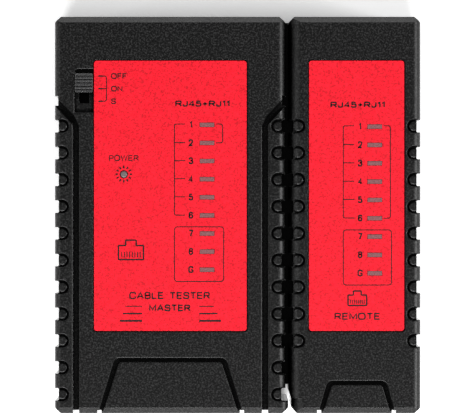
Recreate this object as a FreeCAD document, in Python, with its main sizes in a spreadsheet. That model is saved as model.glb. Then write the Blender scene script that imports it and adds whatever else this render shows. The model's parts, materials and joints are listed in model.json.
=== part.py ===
import FreeCAD, Part
import math
import os
import re

import Sketcher

# Two-piece network cable tester: a master unit with a 9 V battery and a slide switch, and a
# remote unit whose T-shaped rail slides into the master's right side. Millimetres. The tester lies
# on its back: +X to the right, +Y towards the end with the jacks, +Z out of the front face. The
# origin is under the middle of the overall box.

SIZES = (
    ("overall_length", 111.0, "bottom end to top end"),
    ("thickness", 28.0, "back face to front face"),
    ("master_left", -51.15, "outer side of the master"),
    ("master_right", 14.15, "side of the master that faces the remote, at its foot"),
    ("remote_left", 14.95, "side of the remote that faces the master, at its foot"),
    ("remote_right", 51.15, "outer side of the remote"),
    ("seam_shift", 0.78, "both facing sides lie this much further left above the foot"),
    ("seam_turn_low", -51.2, "where the facing sides start to shift"),
    ("seam_turn_high", -49.0, "where they have shifted"),
    ("edge_round", 2.2, "rounding of the long edges"),
    ("facing_round", 4.5, "rounding of the remote's long edges beside the master"),
    ("end_chamfer", 1.7, "bevel round both end faces"),
    ("wall", 2.0, "wall of every shell"),
    ("parting", 14.0, "height of the joint between front and rear shells"),
    ("parting_groove", 0.3, "width of the shadow line round the joint"),
    ("parting_depth", 0.25, "its depth"),
    ("grip_top", 24.85, "middle of the uppermost grip pocket"),
    ("grip_pitch", 7.5, "spacing of the pockets"),
    ("master_grip_reach", 4.0, "side face to the inner end of a pocket, on the master"),
    ("facing_grip_reach", 4.7, "the same on the remote's side that faces the master"),
    ("remote_grip_reach", 3.8, "the same on the remote's outer side"),
    ("grip_radius", 1.9, "rounded inner end of a pocket"),
    ("grip_depth", 1.3, "depth of a pocket in the front face"),
    ("notch_width", 3.5, "notch that a pocket makes down the side"),
    ("notch_depth", 1.15, "its depth"),
    ("facing_notch", 1.4, "its depth on the remote's side that faces the master"),
    ("notch_round", 0.45, "rounding of its corners"),
    ("bead_radius", 1.45, "bead standing in a pocket"),
    ("bead_drop", 0.45, "bead top below the front face"),
    ("bead_round", 0.5, "rounding of the bead's top"),
    ("rim_round", 0.3, "rounding of the rims of pockets, grooves and switch bay"),
    ("groove_depth", 1.3, "depth of the long grooves in the front face"),
    ("groove_notch", 0.95, "depth of every groove in the side and end faces"),
    ("groove_width", 1.7, "width of the long grooves"),
    ("left_groove", -46.05, "outer side of the left long groove"),
    ("right_groove", 8.5, "outer side of the right long groove"),
    ("groove_bend", 25.2, "where the outer side of a long groove turns outwards"),
    ("groove_turn", 25.0, "where its inner side starts to turn, in two steps"),
    ("groove_step_x", 1.275, "the first of those steps, along X"),
    ("groove_step_y", 2.8, "the first of those steps, along Y"),
    ("groove_exit", 30.6, "lower lip of its exit in the side"),
    ("groove_mouth", 2.7, "height of that exit"),
    ("arch_width", 1.15, "width of the arch-shaped groove at the foot"),
    ("arch_depth", 1.2, "its depth"),
    ("arch_round", 2.0, "outer rounding of its corners"),
    ("label_recess", 0.35, "depth of the label's recess"),
    ("label_sheet", 0.25, "thickness of the label"),
    ("label_gap", 0.3, "border between label and recess"),
    ("label_round", 0.8, "label corner radius"),
    ("bed_round", 0.9, "corner radius of its recess"),
    ("label_low", -32.35, "lower edge of both labels"),
    ("label_high", 43.1, "upper edge of both labels"),
    ("master_label_left", -40.1, "left edge of the master's label"),
    ("master_label_right", 2.5, "its right edge"),
    ("remote_label_left", 19.95, "left edge of the remote's label"),
    ("remote_label_right", 46.5, "its right edge"),
    ("led_long", 4.0, "lens of a bar LED, along X"),
    ("led_short", 1.15, "lens of a bar LED, along Y"),
    ("led_gap", 0.1, "clearance round a lens"),
    ("led_flange", 0.5, "rim round the foot of an LED"),
    ("led_flange_tall", 1.0, "height of that rim"),
    ("led_drop", 0.12, "lens top below the front face"),
    ("master_led_x", -8.55, "middle of the master's LED column"),
    ("master_led_top", 25.2, "middle of its first LED"),
    ("master_led_pitch", 5.06, "spacing of its LEDs"),
    ("remote_led_x", 38.3, "middle of the remote's LED column"),
    ("remote_led_top", 24.7, "middle of its first LED"),
    ("remote_led_pitch", 5.12, "spacing of its LEDs"),
    ("power_led_x", -31.8, "power LED"),
    ("power_led_y", 11.4, "power LED"),
    ("power_led_radius", 1.05, "lens of the power LED"),
    ("power_led_body", 1.5, "radius of its body under the wall"),
    ("power_led_rim", 1.8, "radius of the rim round its foot"),
    ("power_led_rim_tall", 0.8, "height of that rim"),
    ("board_low", 20.5, "rear face of the circuit boards"),
    ("board_sheet", 1.6, "thickness of the circuit boards"),
    ("jack_tall", 13.3, "jack housing, along Z"),
    ("jack_deep", 21.3, "jack housing, along Y"),
    ("jack_set_back", 0.2, "jack face behind the end face"),
    ("jack_gap", 0.15, "clearance of a jack in its window"),
    ("rj45_wide", 15.9, "eight-way jack housing"),
    ("rj45_mouth", 11.7, "width of its socket"),
    ("rj11_wide", 13.2, "six-way jack housing"),
    ("rj11_mouth", 9.7, "width of its socket"),
    ("socket_deep", 14.0, "depth of a socket"),
    ("socket_low", 11.4, "floor of a socket"),
    ("socket_high", 18.2, "roof of a socket"),
    ("latch_floor", 9.9, "floor of the keyway for a plug's latch"),
    ("latch_wide", 6.2, "width of that keyway"),
    ("latch_slot_floor", 8.6, "floor of the narrow slot under it"),
    ("latch_slot_wide", 3.4, "width of the narrow slot"),
    ("latch_deep", 12.0, "depth of keyway and slot"),
    ("tray_roof", 0.6, "the contacts' tray reaches this far below the roof of the socket"),
    ("master_rj45_x", -29.0, "middle of the master's eight-way jack"),
    ("master_rj11_x", -9.5, "middle of its six-way jack"),
    ("remote_rj45_x", 25.4, "middle of the remote's eight-way jack"),
    ("remote_rj11_x", 41.0, "middle of its six-way jack"),
    ("contact_pitch", 1.02, "spacing of the jack contacts"),
    ("contact_wire", 0.42, "thickness of a contact"),
    ("contact_first", 2.2, "back of a jack to its first row of tails"),
    ("contact_rows", 2.54, "first row of tails to the second"),
    ("contact_front", 4.0, "jack face to the bend of the contacts"),
    ("contact_slope", 6.0, "length of their slope into the socket, along Y"),
    ("contact_dip", 1.9, "how far the slope reaches below the roof"),
    ("contact_lift", 0.5, "run of the contacts above the roof"),
    ("tail_proud", 0.8, "tails beyond the board"),
    ("drill_gap", 0.25, "clearance of tails and screws in the boards"),
    ("bay_left", -45.6, "switch bay beside the label"),
    ("bay_right", -40.1, "its edge on the label's side"),
    ("bay_low", 28.7, "its lower edge"),
    ("bay_high", 40.8, "its upper edge"),
    ("bay_depth", 1.0, "its depth"),
    ("bay_round", 1.2, "rounding of its outer upper corner"),
    ("knob_wide", 4.9, "switch knob, along X"),
    ("knob_long", 5.2, "switch knob, along Y"),
    ("knob_x", -42.95, "middle of the knob"),
    ("knob_y", 36.9, "middle of the knob at off"),
    ("knob_proud", 0.7, "knob above the front face"),
    ("knob_gap", 0.12, "knob above the floor of its bay"),
    ("knob_round", 0.35, "rounding of its corners"),
    ("knob_travel", 4.0, "off to the slow setting"),
    ("knob_groove_pitch", 0.95, "spacing of the grooves across the knob"),
    ("knob_groove_wide", 0.5, "their width"),
    ("knob_groove_deep", 0.45, "their depth"),
    ("stem_wide", 2.6, "stem of the knob, along X"),
    ("stem_long", 3.0, "stem of the knob, along Y"),
    ("stem_gap", 0.15, "clearance round the stem"),
    ("stem_lift", 0.2, "stem above the floor of the switch"),
    ("switch_wide", 6.0, "switch body, along X"),
    ("switch_long", 12.6, "switch body, along Y"),
    ("switch_tall", 3.5, "switch body above the board"),
    ("switch_floor", 1.0, "its floor under the stem"),
    ("switch_round", 0.5, "rounding of its upright edges"),
    ("case_boss", 3.1, "radius of a screw boss in the front shell"),
    ("case_pillar", 3.2, "radius of a screw pillar in the rear shell"),
    ("case_counterbore", 2.7, "radius of the well for a screw head"),
    ("case_seat", 8.0, "height of the seat under a screw head"),
    ("case_shank", 1.3, "radius of a case screw"),
    ("case_fit", 0.04, "clearance round it in the front boss"),
    ("case_slack", 0.2, "clearance round it in the rear pillar"),
    ("case_head", 2.3, "radius of its head"),
    ("case_head_tall", 1.7, "height of its head"),
    ("case_screw_long", 12.0, "length under the head"),
    ("board_boss", 2.2, "radius of a board boss"),
    ("board_shank", 0.95, "radius of a board screw"),
    ("board_fit", 0.03, "clearance round it in the boss"),
    ("board_head", 1.8, "radius of its head"),
    ("board_head_tall", 1.2, "height of its head"),
    ("board_screw_long", 4.4, "length under the head"),
    ("board_pilot_end", 25.4, "closed end of a board screw's hole"),
    ("screw_tip", 1.2, "length of a screw's pointed end"),
    ("cross_arm", 0.25, "half the width of the cross in a screw head"),
    ("channel_reach", 5.2, "depth of the block that holds the T-slot"),
    ("channel_half", 6.5, "half of its height"),
    ("channel_low", -49.6, "its lower end"),
    ("lip", 2.4, "lips of the T-slot"),
    ("head_thick", 1.5, "head of the T-rail, along X"),
    ("head_half", 5.1, "half of its height"),
    ("web_half", 2.3, "half of the web's height"),
    ("rail_gap", 0.15, "clearance all round the T-rail"),
    ("rail_low", -48.0, "lower end of the rail"),
    ("rail_short", 1.0, "rail end below the top end"),
    ("door_left", -33.7, "battery door"),
    ("door_right", -3.8, "battery door"),
    ("door_high", 2.0, "upper edge of the battery door"),
    ("door_gap", 0.15, "clearance round the door"),
    ("door_sheet", 1.85, "thickness of the door"),
    ("tongue_low", 1.1, "underside of the door's tongues"),
    ("tongue_reach", 1.15, "width of the tongues"),
    ("tongue_start", 2.5, "side tongues start this far above the foot"),
    ("tongue_inset", 3.0, "the upper tongue ends this far inside the door's sides"),
    ("tongue_play", 0.1, "clearance under the tongues"),
    ("ledge_tall", 1.2, "ledges over the tongues"),
    ("ledge_wide", 2.9, "width of the ledges"),
    ("ledge_lap", 0.1, "overlap of ledge and door"),
    ("bay_wall", 1.2, "walls round the battery"),
    ("bay_wall_y", 3.0, "near side of the wall behind the battery's terminals"),
    ("lead_notch_left", -14.5, "notch in that wall for both leads"),
    ("lead_notch_right", -6.0, "its other side"),
    ("lead_notch_low", 7.5, "its floor"),
    ("grip_rib_pitch", 1.8, "spacing of the thumb grooves across the door"),
    ("grip_rib_wide", 0.8, "their width"),
    ("grip_rib_deep", 0.45, "their depth"),
    ("grip_rib_half", 8.0, "half their length"),
    ("grip_rib_y", -48.0, "the lowest of them"),
    ("battery_wide", 26.5, "9 V block battery"),
    ("battery_long", 46.4, "its length without terminals"),
    ("battery_thick", 17.5, "its thickness"),
    ("battery_low", 2.4, "its lower face"),
    ("battery_end", -52.6, "its lower end"),
    ("battery_round", 2.0, "rounding of its long edges"),
    ("snap_span", 12.7, "terminal to terminal"),
    ("stud_radius", 2.85, "radius of the stud"),
    ("crown_radius", 3.45, "radius of the crown"),
    ("crown_bore", 2.25, "radius of the hollow in the crown"),
    ("crown_floor", 0.4, "floor of that hollow"),
    ("snap_tall", 2.1, "height of both terminals"),
    ("connector_half", 12.0, "half the length of the snap connector"),
    ("connector_side", 5.5, "half its width"),
    ("connector_round", 3.0, "rounding of its edges"),
    ("connector_gap", 0.3, "connector to battery"),
    ("connector_back", 2.0, "connector behind the terminals"),
    ("connector_well", 3.65, "radius of its hollows for the terminals"),
    ("connector_play", 0.2, "their depth beyond the terminals"),
    ("lead_radius", 0.6, "insulation of a battery lead"),
    ("lead_level", 11.0, "height of the leads at the connector"),
    ("lead_notch_level", 13.0, "height of the leads past the wall"),
    ("lead_bend_y", 4.5, "where the leads start to turn sideways and up"),
    ("lead_board_y", 12.0, "where they meet the board"),
    ("pad_sheet", 0.5, "foam pad under the board, over the battery"),
    ("pad_half", 9.0, "half its length along X"),
    ("pad_low", 12.0, "its lower edge, below the battery's upper end"),
    ("pad_high", 2.0, "its upper edge, below the battery's upper end"),
    ("pin_pitch", 2.54, "spacing of a chip's legs"),
    ("chip_half", 3.2, "half the width of a chip"),
    ("chip_low", 4.0, "underside of a chip, below the board"),
    ("chip_high", 0.6, "its upper side, below the board"),
    ("chip_margin", 0.3, "a chip is this much shorter at each end than its rows of legs"),
    ("chip_leg", 0.4, "half the width of a leg"),
    ("chip_leg_lap", 0.1, "overlap of leg and chip"),
    ("chip_leg_thick", 0.75, "thickness of a leg, with that overlap"),
    ("chip_leg_low", 2.4, "foot of a leg, below the board"),
    ("dimple_radius", 0.7, "dimple that marks the first leg"),
    ("dimple_inset", 1.4, "its distance from the end"),
    ("dimple_deep", 0.2, "its depth"),
    ("wire_radius", 0.28, "leads of resistors and diodes"),
    ("wire_lift", 0.3, "resistors and diodes hang this far below the board"),
    ("resistor_radius", 1.1, "a resistor"),
    ("resistor_half", 3.0, "half its length"),
    ("resistor_reach", 5.0, "half its length with its leads"),
    ("diode_radius", 0.95, "a diode"),
    ("diode_half", 2.0, "half its length"),
    ("diode_reach", 4.0, "half its length with its leads"),
    ("can_x", -1.5, "timing capacitor"),
    ("can_y", 24.0, "timing capacitor"),
    ("can_tall", 9.0, "its height"),
    ("can_radius", 2.5, "its radius"),
    ("can_ring_low", 2.2, "crimped ring round it, below the board"),
    ("can_ring_high", 1.6, "upper edge of that ring"),
    ("can_ring_deep", 0.2, "its depth"),
)

BAR_LEDS = ("1", "2", "3", "4", "5", "6", "7", "8", "g")
CLEAR = 1.0  # how far a cutter reaches past the face that it cuts, mm
TINY = 1e-3  # tolerance for finding edges, mm

doc = FreeCAD.newDocument("CableTester")
sheet = doc.addObject("Spreadsheet::Sheet", "Sizes")
for row, (alias, number, note) in enumerate(SIZES, 1):
    sheet.set("A%d" % row, note)
    sheet.set("B%d" % row, str(number))
    sheet.setAlias("B%d" % row, alias)
doc.recompute()

ALIASES = {alias for alias, number, note in SIZES}
TOP = "(overall_length / 2)"
FOOT = "(-overall_length / 2)"
BOARD_HIGH = "(board_low + board_sheet)"
SEAM = "(master_right - seam_shift)"
JACK_FACE = "(overall_length / 2 - jack_set_back)"
ABOVE = "thickness + %s" % CLEAR
BELOW = "-%s" % CLEAR
LED_WINDOW_X = "led_long / 2 + led_gap"
LED_WINDOW_Y = "led_short / 2 + led_gap"


def formula(text):
    """A spreadsheet expression, with the sheet's name before each alias."""
    def full_name(word):
        return ("Sizes." if word[0] in ALIASES else "") + word[0]
    return re.sub(r"[A-Za-z_]\w*", full_name, str(text))


def value(text):
    """The number that a formula gives now."""
    return float(sheet.evalExpression(formula(text)))


def bind(thing, name, text):
    thing.setExpression(name, formula(text))


def about(middle, half):
    """A (low, high) pair of formulas on both sides of a middle."""
    return ("%s - (%s)" % (middle, half), "%s + (%s)" % (middle, half))


def inward(face, sign, distance):
    """A formula for the place that lies a distance inside a side face; sign points inwards."""
    return "%s + %d * (%s)" % (face, sign, distance)


def span(start, end, sign):
    """(low, high), whichever way the distance runs."""
    return (start, end) if sign > 0 else (end, start)


# ---------------------------------------------------------------- primitives and booleans

def box(name, x, y, z):
    """A box from its (low, high) formulas along the three axes."""
    piece = doc.addObject("Part::Box", name)
    for side, axis, (low, high) in zip(("Length", "Width", "Height"), "xyz", (x, y, z)):
        bind(piece, side, "(%s) - (%s)" % (high, low))
        bind(piece, "Placement.Base." + axis, low)
    return piece


TURNS = {
    "x": FreeCAD.Rotation(FreeCAD.Vector(0, 1, 0), 90),
    "y": FreeCAD.Rotation(FreeCAD.Vector(1, 0, 0), -90),
    "z": FreeCAD.Rotation(),
}


def rod(name, x, y, z, radius, along="z"):
    """A cylinder: the axis that it lies along has a (low, high) pair, the others one formula."""
    piece = doc.addObject("Part::Cylinder", name)
    piece.Placement = FreeCAD.Placement(FreeCAD.Vector(), TURNS[along])
    bind(piece, "Radius", radius)
    for axis, place in zip("xyz", (x, y, z)):
        if axis == along:
            bind(piece, "Height", "(%s) - (%s)" % (place[1], place[0]))
            place = place[0]
        bind(piece, "Placement.Base." + axis, place)
    return piece


def fuse(name, pieces):
    joined = doc.addObject("Part::MultiFuse", name)
    joined.Shapes = pieces
    return joined


def common(name, pieces):
    shared = doc.addObject("Part::MultiCommon", name)
    shared.Shapes = pieces
    return shared


def cut(name, base, tools):
    """base with every tool taken away."""
    rest = doc.addObject("Part::Cut", name)
    rest.Base = base
    rest.Tool = tools[0] if len(tools) == 1 else fuse(name + "_tools", tools)
    return rest


def group(name, pieces):
    """Separate solids that share one node."""
    held = doc.addObject("Part::Compound", name)
    held.Links = pieces
    return held


def rounded(name, base, radius, picked):
    """base with a radius on the edges for which picked(edge) is true."""
    doc.recompute()
    result = doc.addObject("Part::Fillet", name)
    result.Base = base
    reach = value(radius)
    edges = [number for number, edge in enumerate(base.Shape.Edges, 1) if picked(edge)]
    if not edges:
        raise ValueError(name + " rounds nothing")
    result.Edges = [(number, reach, reach) for number in edges]
    return result


def runs_along(axis):
    """Picks the straight edges parallel to an axis."""
    def picked(edge):
        if not isinstance(edge.Curve, Part.Line):
            return False
        return abs(abs(getattr(edge.Curve.Direction, axis)) - 1) < TINY
    return picked


def corner_at(x, y):
    """Picks the upright edge at (x, y)."""
    def picked(edge):
        middle = edge.CenterOfMass
        return runs_along("z")(edge) and math.hypot(middle.x - value(x), middle.y - value(y)) < TINY
    return picked


def rounded_box(name, x, y, z, radius, along="z"):
    return rounded(name, box(name + "_block", x, y, z), radius, runs_along(along))


# ---------------------------------------------------------------- sketches, prisms, bodies

def draw_polygon(sketch, points):
    """A closed outline whose corners are bound to formulas."""
    first = sketch.GeometryCount
    spots = [FreeCAD.Vector(value(x), value(y), 0) for x, y in points]
    count = len(points)
    for number in range(count):
        sketch.addGeometry(Part.LineSegment(spots[number], spots[(number + 1) % count]), False)
    for number in range(count):
        following = first + (number + 1) % count
        sketch.addConstraint(Sketcher.Constraint("Coincident", first + number, 2, following, 1))
    for number, corner in enumerate(points):
        for kind, place in zip(("DistanceX", "DistanceY"), corner):
            rule = Sketcher.Constraint(kind, -1, 1, first + number, 1, value(place))
            index = sketch.addConstraint(rule)
            bind(sketch, "Constraints[%d]" % index, place)


def draw_circle(sketch, x, y, radius):
    centre = FreeCAD.Vector(value(x), value(y), 0)
    upward = FreeCAD.Vector(0, 0, 1)
    circle = sketch.addGeometry(Part.Circle(centre, upward, value(radius)), False)
    rules = (
        ("DistanceX", -1, 1, circle, 3, x),
        ("DistanceY", -1, 1, circle, 3, y),
        ("Radius", circle, radius),
    )
    for rule in rules:
        index = sketch.addConstraint(Sketcher.Constraint(*rule[:-1], value(rule[-1])))
        bind(sketch, "Constraints[%d]" % index, rule[-1])


def rectangle(x, y):
    return [(x[0], y[0]), (x[1], y[0]), (x[1], y[1]), (x[0], y[1])]


SKETCH_TURNS = {
    "z": FreeCAD.Rotation(),
    "x": FreeCAD.Rotation(0.5, 0.5, 0.5, 0.5),
}


def prism(name, along, low, high, points):
    """An outline, drawn across an axis, extruded along it."""
    sketch = doc.addObject("Sketcher::SketchObject", name + "_outline")
    sketch.Placement = FreeCAD.Placement(FreeCAD.Vector(), SKETCH_TURNS[along])
    draw_polygon(sketch, points)
    bind(sketch, "Placement.Base." + along, low)
    solid = doc.addObject("Part::Extrusion", name)
    solid.Base = sketch
    solid.DirMode = "Custom"
    solid.Dir = FreeCAD.Vector(*(float(axis == along) for axis in "xyz"))
    solid.Solid = True
    bind(solid, "LengthFwd", "(%s) - (%s)" % (high, low))
    return solid


def new_body(label):
    body = doc.addObject("PartDesign::Body", label)
    body.Label = label
    return body


def body_sketch(body, name, role, level, polygons=(), circles=()):
    """A sketch on one of the body's own planes, moved to a level along that plane's axis."""
    sketch = body.newObject("Sketcher::SketchObject", name)
    plane = next(thing for thing in body.Origin.OriginFeatures if thing.Role == role)
    sketch.AttachmentSupport = [(plane, "")]
    sketch.MapMode = "FlatFace"
    bind(sketch, "AttachmentOffset.Base.z", level if role == "XY_Plane" else "-(%s)" % level)
    for points in polygons:
        draw_polygon(sketch, points)
    for circle in circles:
        draw_circle(sketch, *circle)
    return sketch


def pad(body, name, sketch, length):
    feature = body.newObject("PartDesign::Pad", name)
    feature.Profile = sketch
    bind(feature, "Length", length)
    return feature


def pocket(body, name, sketch, length, reverse=False):
    """Cuts down from a sketch; the volume must get smaller."""
    doc.recompute()
    before = body.Shape.Volume
    feature = body.newObject("PartDesign::Pocket", name)
    feature.Profile = sketch
    feature.Reversed = reverse
    bind(feature, "Length", length)
    doc.recompute()
    if body.Shape.Volume > before - TINY:
        raise ValueError(name + " cuts nothing")
    return feature


# ---------------------------------------------------------------- the two units

MASTER = {
    "name": "master",
    "left": "master_left",
    "right": SEAM,
    "foot_left": "master_left",
    "foot_right": "master_right",
    "left_round": "edge_round",
    "grips": 11,
    "grip_reach": {"left": "master_grip_reach", "right": "master_grip_reach"},
    "notch_depth": {"left": "notch_depth", "right": "notch_depth"},
    "label": ("master_label_left", "master_label_right"),
    "led": ("master_led_x", "master_led_top", "master_led_pitch"),
    "arch": {"foot": ("-38.7", "1.2"), "top": ("-33.7", "-3.9"), "high": "-40.5"},
    "jacks": (("rj45", "master_rj45_x", 8), ("rj11", "master_rj11_x", 6)),
    "case_screws": (("-45.2", "48.6"), ("4.6", "48.6"), ("-45.2", "-49.4"), ("4.6", "-49.4")),
    "board_screws": (("-45.4", "-15.5"), ("5.0", "-15.5"), ("5.0", "38.0"), ("-45.4", "23.0")),
    "board": (
        ("-48", "-19.5"), ("7.6", "-19.5"), ("7.6", "43.5"), ("0.6", "43.5"), ("0.6", "52.5"),
        ("-41.2", "52.5"), ("-41.2", "43.5"), ("-48", "43.5"),
    ),
}

REMOTE = {
    "name": "remote",
    "left": "(remote_left - seam_shift)",
    "right": "remote_right",
    "foot_left": "remote_left",
    "foot_right": "remote_right",
    "left_round": "facing_round",
    "grips": 9,
    "grip_reach": {"left": "facing_grip_reach", "right": "remote_grip_reach"},
    "notch_depth": {"left": "facing_notch", "right": "notch_depth"},
    "label": ("remote_label_left", "remote_label_right"),
    "led": ("remote_led_x", "remote_led_top", "remote_led_pitch"),
    "arch": {"foot": ("22.8", "43.7"), "top": ("25.75", "40.95"), "high": "-46.9"},
    "jacks": (("rj45", "remote_rj45_x", 8), ("rj11", "remote_rj11_x", 6)),
    "case_screws": (("19.6", "28.6"), ("45.8", "28.6"), ("20.6", "-49.4"), ("45.0", "-49.4")),
    "board_screws": (("25.4", "-16.5"), ("30.5", "28.0")),
    "board": (
        ("22.9", "-20"), ("42.5", "-20"), ("42.5", "32.5"), ("48.3", "32.5"), ("48.3", "52.5"),
        ("17", "52.5"), ("17", "32.5"), ("22.9", "32.5"),
    ),
}


def led_y(unit, number):
    """The middle of one LED in a unit's column."""
    x, first, pitch = unit["led"]
    return "(%s - %d * %s)" % (first, number, pitch)


def unit_outline(unit, inset):
    """Seen from the front: bevelled corners, and facing sides that shift near the foot."""
    left, right = inward(unit["left"], 1, inset), inward(unit["right"], -1, inset)
    foot_left, foot_right = inward(unit["foot_left"], 1, inset), inward(unit["foot_right"], -1, inset)
    low, high = inward(FOOT, 1, inset), inward(TOP, -1, inset)
    return [
        (foot_left + " + end_chamfer", low),
        (foot_right + " - end_chamfer", low),
        (foot_right, low + " + end_chamfer"),
        (foot_right, "seam_turn_low"),
        (right, "seam_turn_high"),
        (right, high + " - end_chamfer"),
        (right + " - end_chamfer", high),
        (left + " + end_chamfer", high),
        (left, high + " - end_chamfer"),
        (left, "seam_turn_high"),
        (foot_left, "seam_turn_low"),
        (foot_left, low + " + end_chamfer"),
    ]


def long_bar(unit, name, left, right, y):
    """A block along Y with rounded long edges, which may differ from side to side."""
    bar = box(name + "_block", (left, right), y, ("0", "thickness"))
    for side, x, radius in (("left", left, unit["left_round"]), ("right", right, "edge_round")):
        place = value(x)

        def on_this_side(edge, place=place):
            return runs_along("y")(edge) and abs(edge.CenterOfMass.x - place) < TINY
        bar = rounded("%s_%s" % (name, side), bar, radius, on_this_side)
    return bar


def unit_block(unit, name):
    """The unit's outer form as one solid."""
    upper = long_bar(unit, name + "_upper", unit["left"], unit["right"], ("seam_turn_low", TOP))
    lower = long_bar(unit, name + "_lower", unit["foot_left"], unit["foot_right"], (FOOT, "seam_turn_high"))
    plan = prism(name + "_plan", "z", "0", "thickness", unit_outline(unit, "0"))
    profile = [
        (FOOT, "end_chamfer"),
        (FOOT, "thickness - end_chamfer"),
        (FOOT + " + end_chamfer", "thickness"),
        (TOP + " - end_chamfer", "thickness"),
        (TOP, "thickness - end_chamfer"),
        (TOP, "end_chamfer"),
        (TOP + " - end_chamfer", "0"),
        (FOOT + " + end_chamfer", "0"),
    ]
    width = (unit["left"] + " - seam_shift", unit["right"] + " + 2 * seam_shift")
    ends = prism(name + "_ends", "x", width[0], width[1], profile)
    return common(name, [fuse(name + "_bars", [upper, lower]), plan, ends])


EVERYWHERE = ("-overall_length", "overall_length")


def half_block(unit, name, low, high):
    """The part of the unit's outer form between two heights."""
    slab = box(name + "_slab", EVERYWHERE, EVERYWHERE, (low, high))
    return common(name + "_half", [unit_block(unit, name + "_form"), slab])


def inner_box(unit, name, low, high):
    """The room inside the walls, between two heights."""
    x = (inward(unit["left"], 1, "wall"), inward(unit["right"], -1, "wall"))
    return box(name, x, (FOOT + " + wall", TOP + " - wall"), (low, high))


def long_sides(unit):
    """Each long side as (name, side face, direction into the unit)."""
    return (("left", unit["left"], 1), ("right", unit["right"], -1))


def grip_places(unit):
    """Every grip of a unit as (name, side, side face, direction into the unit, middle along Y)."""
    return [
        ("%s_%d" % (side, number), side, face, sign, "(grip_top - %d * grip_pitch)" % number)
        for side, face, sign in long_sides(unit)
        for number in range(unit["grips"])
    ]


def grip_centre(unit, side, face, sign):
    """The middle of a pocket's round inner end, which its bead shares."""
    return inward(face, sign, unit["grip_reach"][side] + " - grip_radius")


def grip_notches(unit, name):
    """The notches that the pockets make down both long sides."""
    return [
        rounded_box(
            "%s_%s_notch" % (name, tag),
            span(inward(face, sign, BELOW), inward(face, sign, unit["notch_depth"][side]), sign),
            about(y, "notch_width / 2"), (BELOW, ABOVE), "notch_round")
        for tag, side, face, sign, y in grip_places(unit)
    ]


def grip_pockets(unit, name):
    """The pockets in the front face, round at their inner ends."""
    tools = []
    for tag, side, face, sign, y in grip_places(unit):
        centre = grip_centre(unit, side, face, sign)
        height = ("thickness - grip_depth", ABOVE)
        tools.append(rod("%s_%s_end" % (name, tag), centre, y, height, "grip_radius"))
        reach = span(inward(face, sign, BELOW), centre, sign)
        tools.append(box("%s_%s_mouth" % (name, tag), reach, about(y, "grip_radius"), height))
    return tools


def grip_beads(unit, name):
    """The rounded bead in each pocket, cut off by the notch and never above the unit's outer form."""
    high = value("thickness - bead_drop")
    beads = []
    for tag, side, face, sign, y in grip_places(unit):
        height = ("thickness - wall", "thickness - bead_drop")
        centre = grip_centre(unit, side, face, sign)
        post = rod("%s_%s_post" % (name, tag), centre, y, height, "bead_radius")
        beads.append(rounded(
            "%s_%s_bead" % (name, tag), post, "bead_round", lambda edge: edge.BoundBox.ZMin > high - TINY))
    inside = common(name + "_inside", [fuse(name + "_row", beads), unit_block(unit, name + "_limit")])
    return cut(name, inside, grip_notches(unit, name + "_clear"))


def long_grooves(unit):
    """Each long groove of the master as (name, outer side, side face, direction into the unit)."""
    outers = {"left": "left_groove", "right": "right_groove"}
    return [(side, outers[side], face, sign) for side, face, sign in long_sides(unit)]


def groove_path(name, outer, face, sign):
    """One long groove in the front face: up from the foot, then outwards to the side."""
    inner = inward(outer, sign, "groove_width")
    beyond = inward(face, sign, BELOW)
    points = [
        (outer, FOOT + " - 1"),
        (outer, "groove_bend"),
        (beyond, "groove_exit + 1"),
        (beyond, "groove_exit + groove_mouth + 1"),
        (inward(inner, -sign, "groove_step_x"), "groove_turn + groove_step_y"),
        (inner, "groove_turn"),
        (inner, FOOT + " - 1"),
    ]
    return prism(name, "z", "thickness - groove_depth", ABOVE, points)


def groove_notches(name, outer, face, sign):
    """The same groove down the side face and down the foot."""
    side = box(
        name + "_side", span(inward(face, sign, BELOW), inward(face, sign, "groove_notch"), sign),
        ("groove_exit", "groove_exit + groove_mouth"), (BELOW, ABOVE))
    return [side, foot_notch(name + "_foot", span(outer, inward(outer, sign, "groove_width"), sign))]


def foot_notch(name, x):
    """A groove across the foot, from the front face to the back face."""
    return box(name, x, (FOOT + " - 1", FOOT + " + groove_notch"), (BELOW, ABOVE))


def arch_path(unit, name):
    """The arch-shaped groove in the front face, at the foot of a unit."""
    arch = unit["arch"]
    blanks = []
    for part, grow, radius in (("outer", 1, "arch_round"), ("inner", -1, "arch_round - arch_width")):
        half = "%d * arch_width / 2" % grow
        foot = (arch["foot"][0] + " - (%s)" % half, arch["foot"][1] + " + (%s)" % half)
        top = (arch["top"][0] + " - (%s)" % half, arch["top"][1] + " + (%s)" % half)
        high = arch["high"] + " + (%s)" % half
        points = [(foot[0], FOOT + " - 1"), (foot[1], FOOT + " - 1"), (top[1], high), (top[0], high)]
        blank = prism("%s_%s" % (name, part), "z", "thickness - arch_depth", ABOVE, points)
        shoulders = [corner_at(x, high) for x in top]

        def at_shoulder(edge, shoulders=shoulders):
            return any(shoulder(edge) for shoulder in shoulders)
        blanks.append(rounded("%s_%s_round" % (name, part), blank, radius, at_shoulder))
    return cut(name, blanks[0], [blanks[1]])


def arch_notches(unit, name):
    """The legs of the arch, down the foot."""
    return [
        foot_notch("%s_%d" % (name, number), about(x, "arch_width / 2"))
        for number, x in enumerate(unit["arch"]["foot"])
    ]


def parting_line(unit, name):
    """A fine shadow line round the joint between the shells."""
    height = about("parting", "parting_groove / 2")
    ring = box(name + "_ring", EVERYWHERE, EVERYWHERE, height)
    core = prism(name + "_core", "z", height[0], height[1], unit_outline(unit, "parting_depth"))
    return cut(name, ring, [core])


def jack_windows(unit, name):
    """The openings in the end wall that the jacks fill."""
    return [
        box(
            "%s_%s" % (name, kind), about(x, "%s_wide / 2 + jack_gap" % kind),
            (TOP + " - 2 * wall", TOP + " + 1"),
            ("board_low - jack_tall - jack_gap", "board_low + jack_gap"))
        for kind, x, ways in unit["jacks"]
    ]


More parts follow.
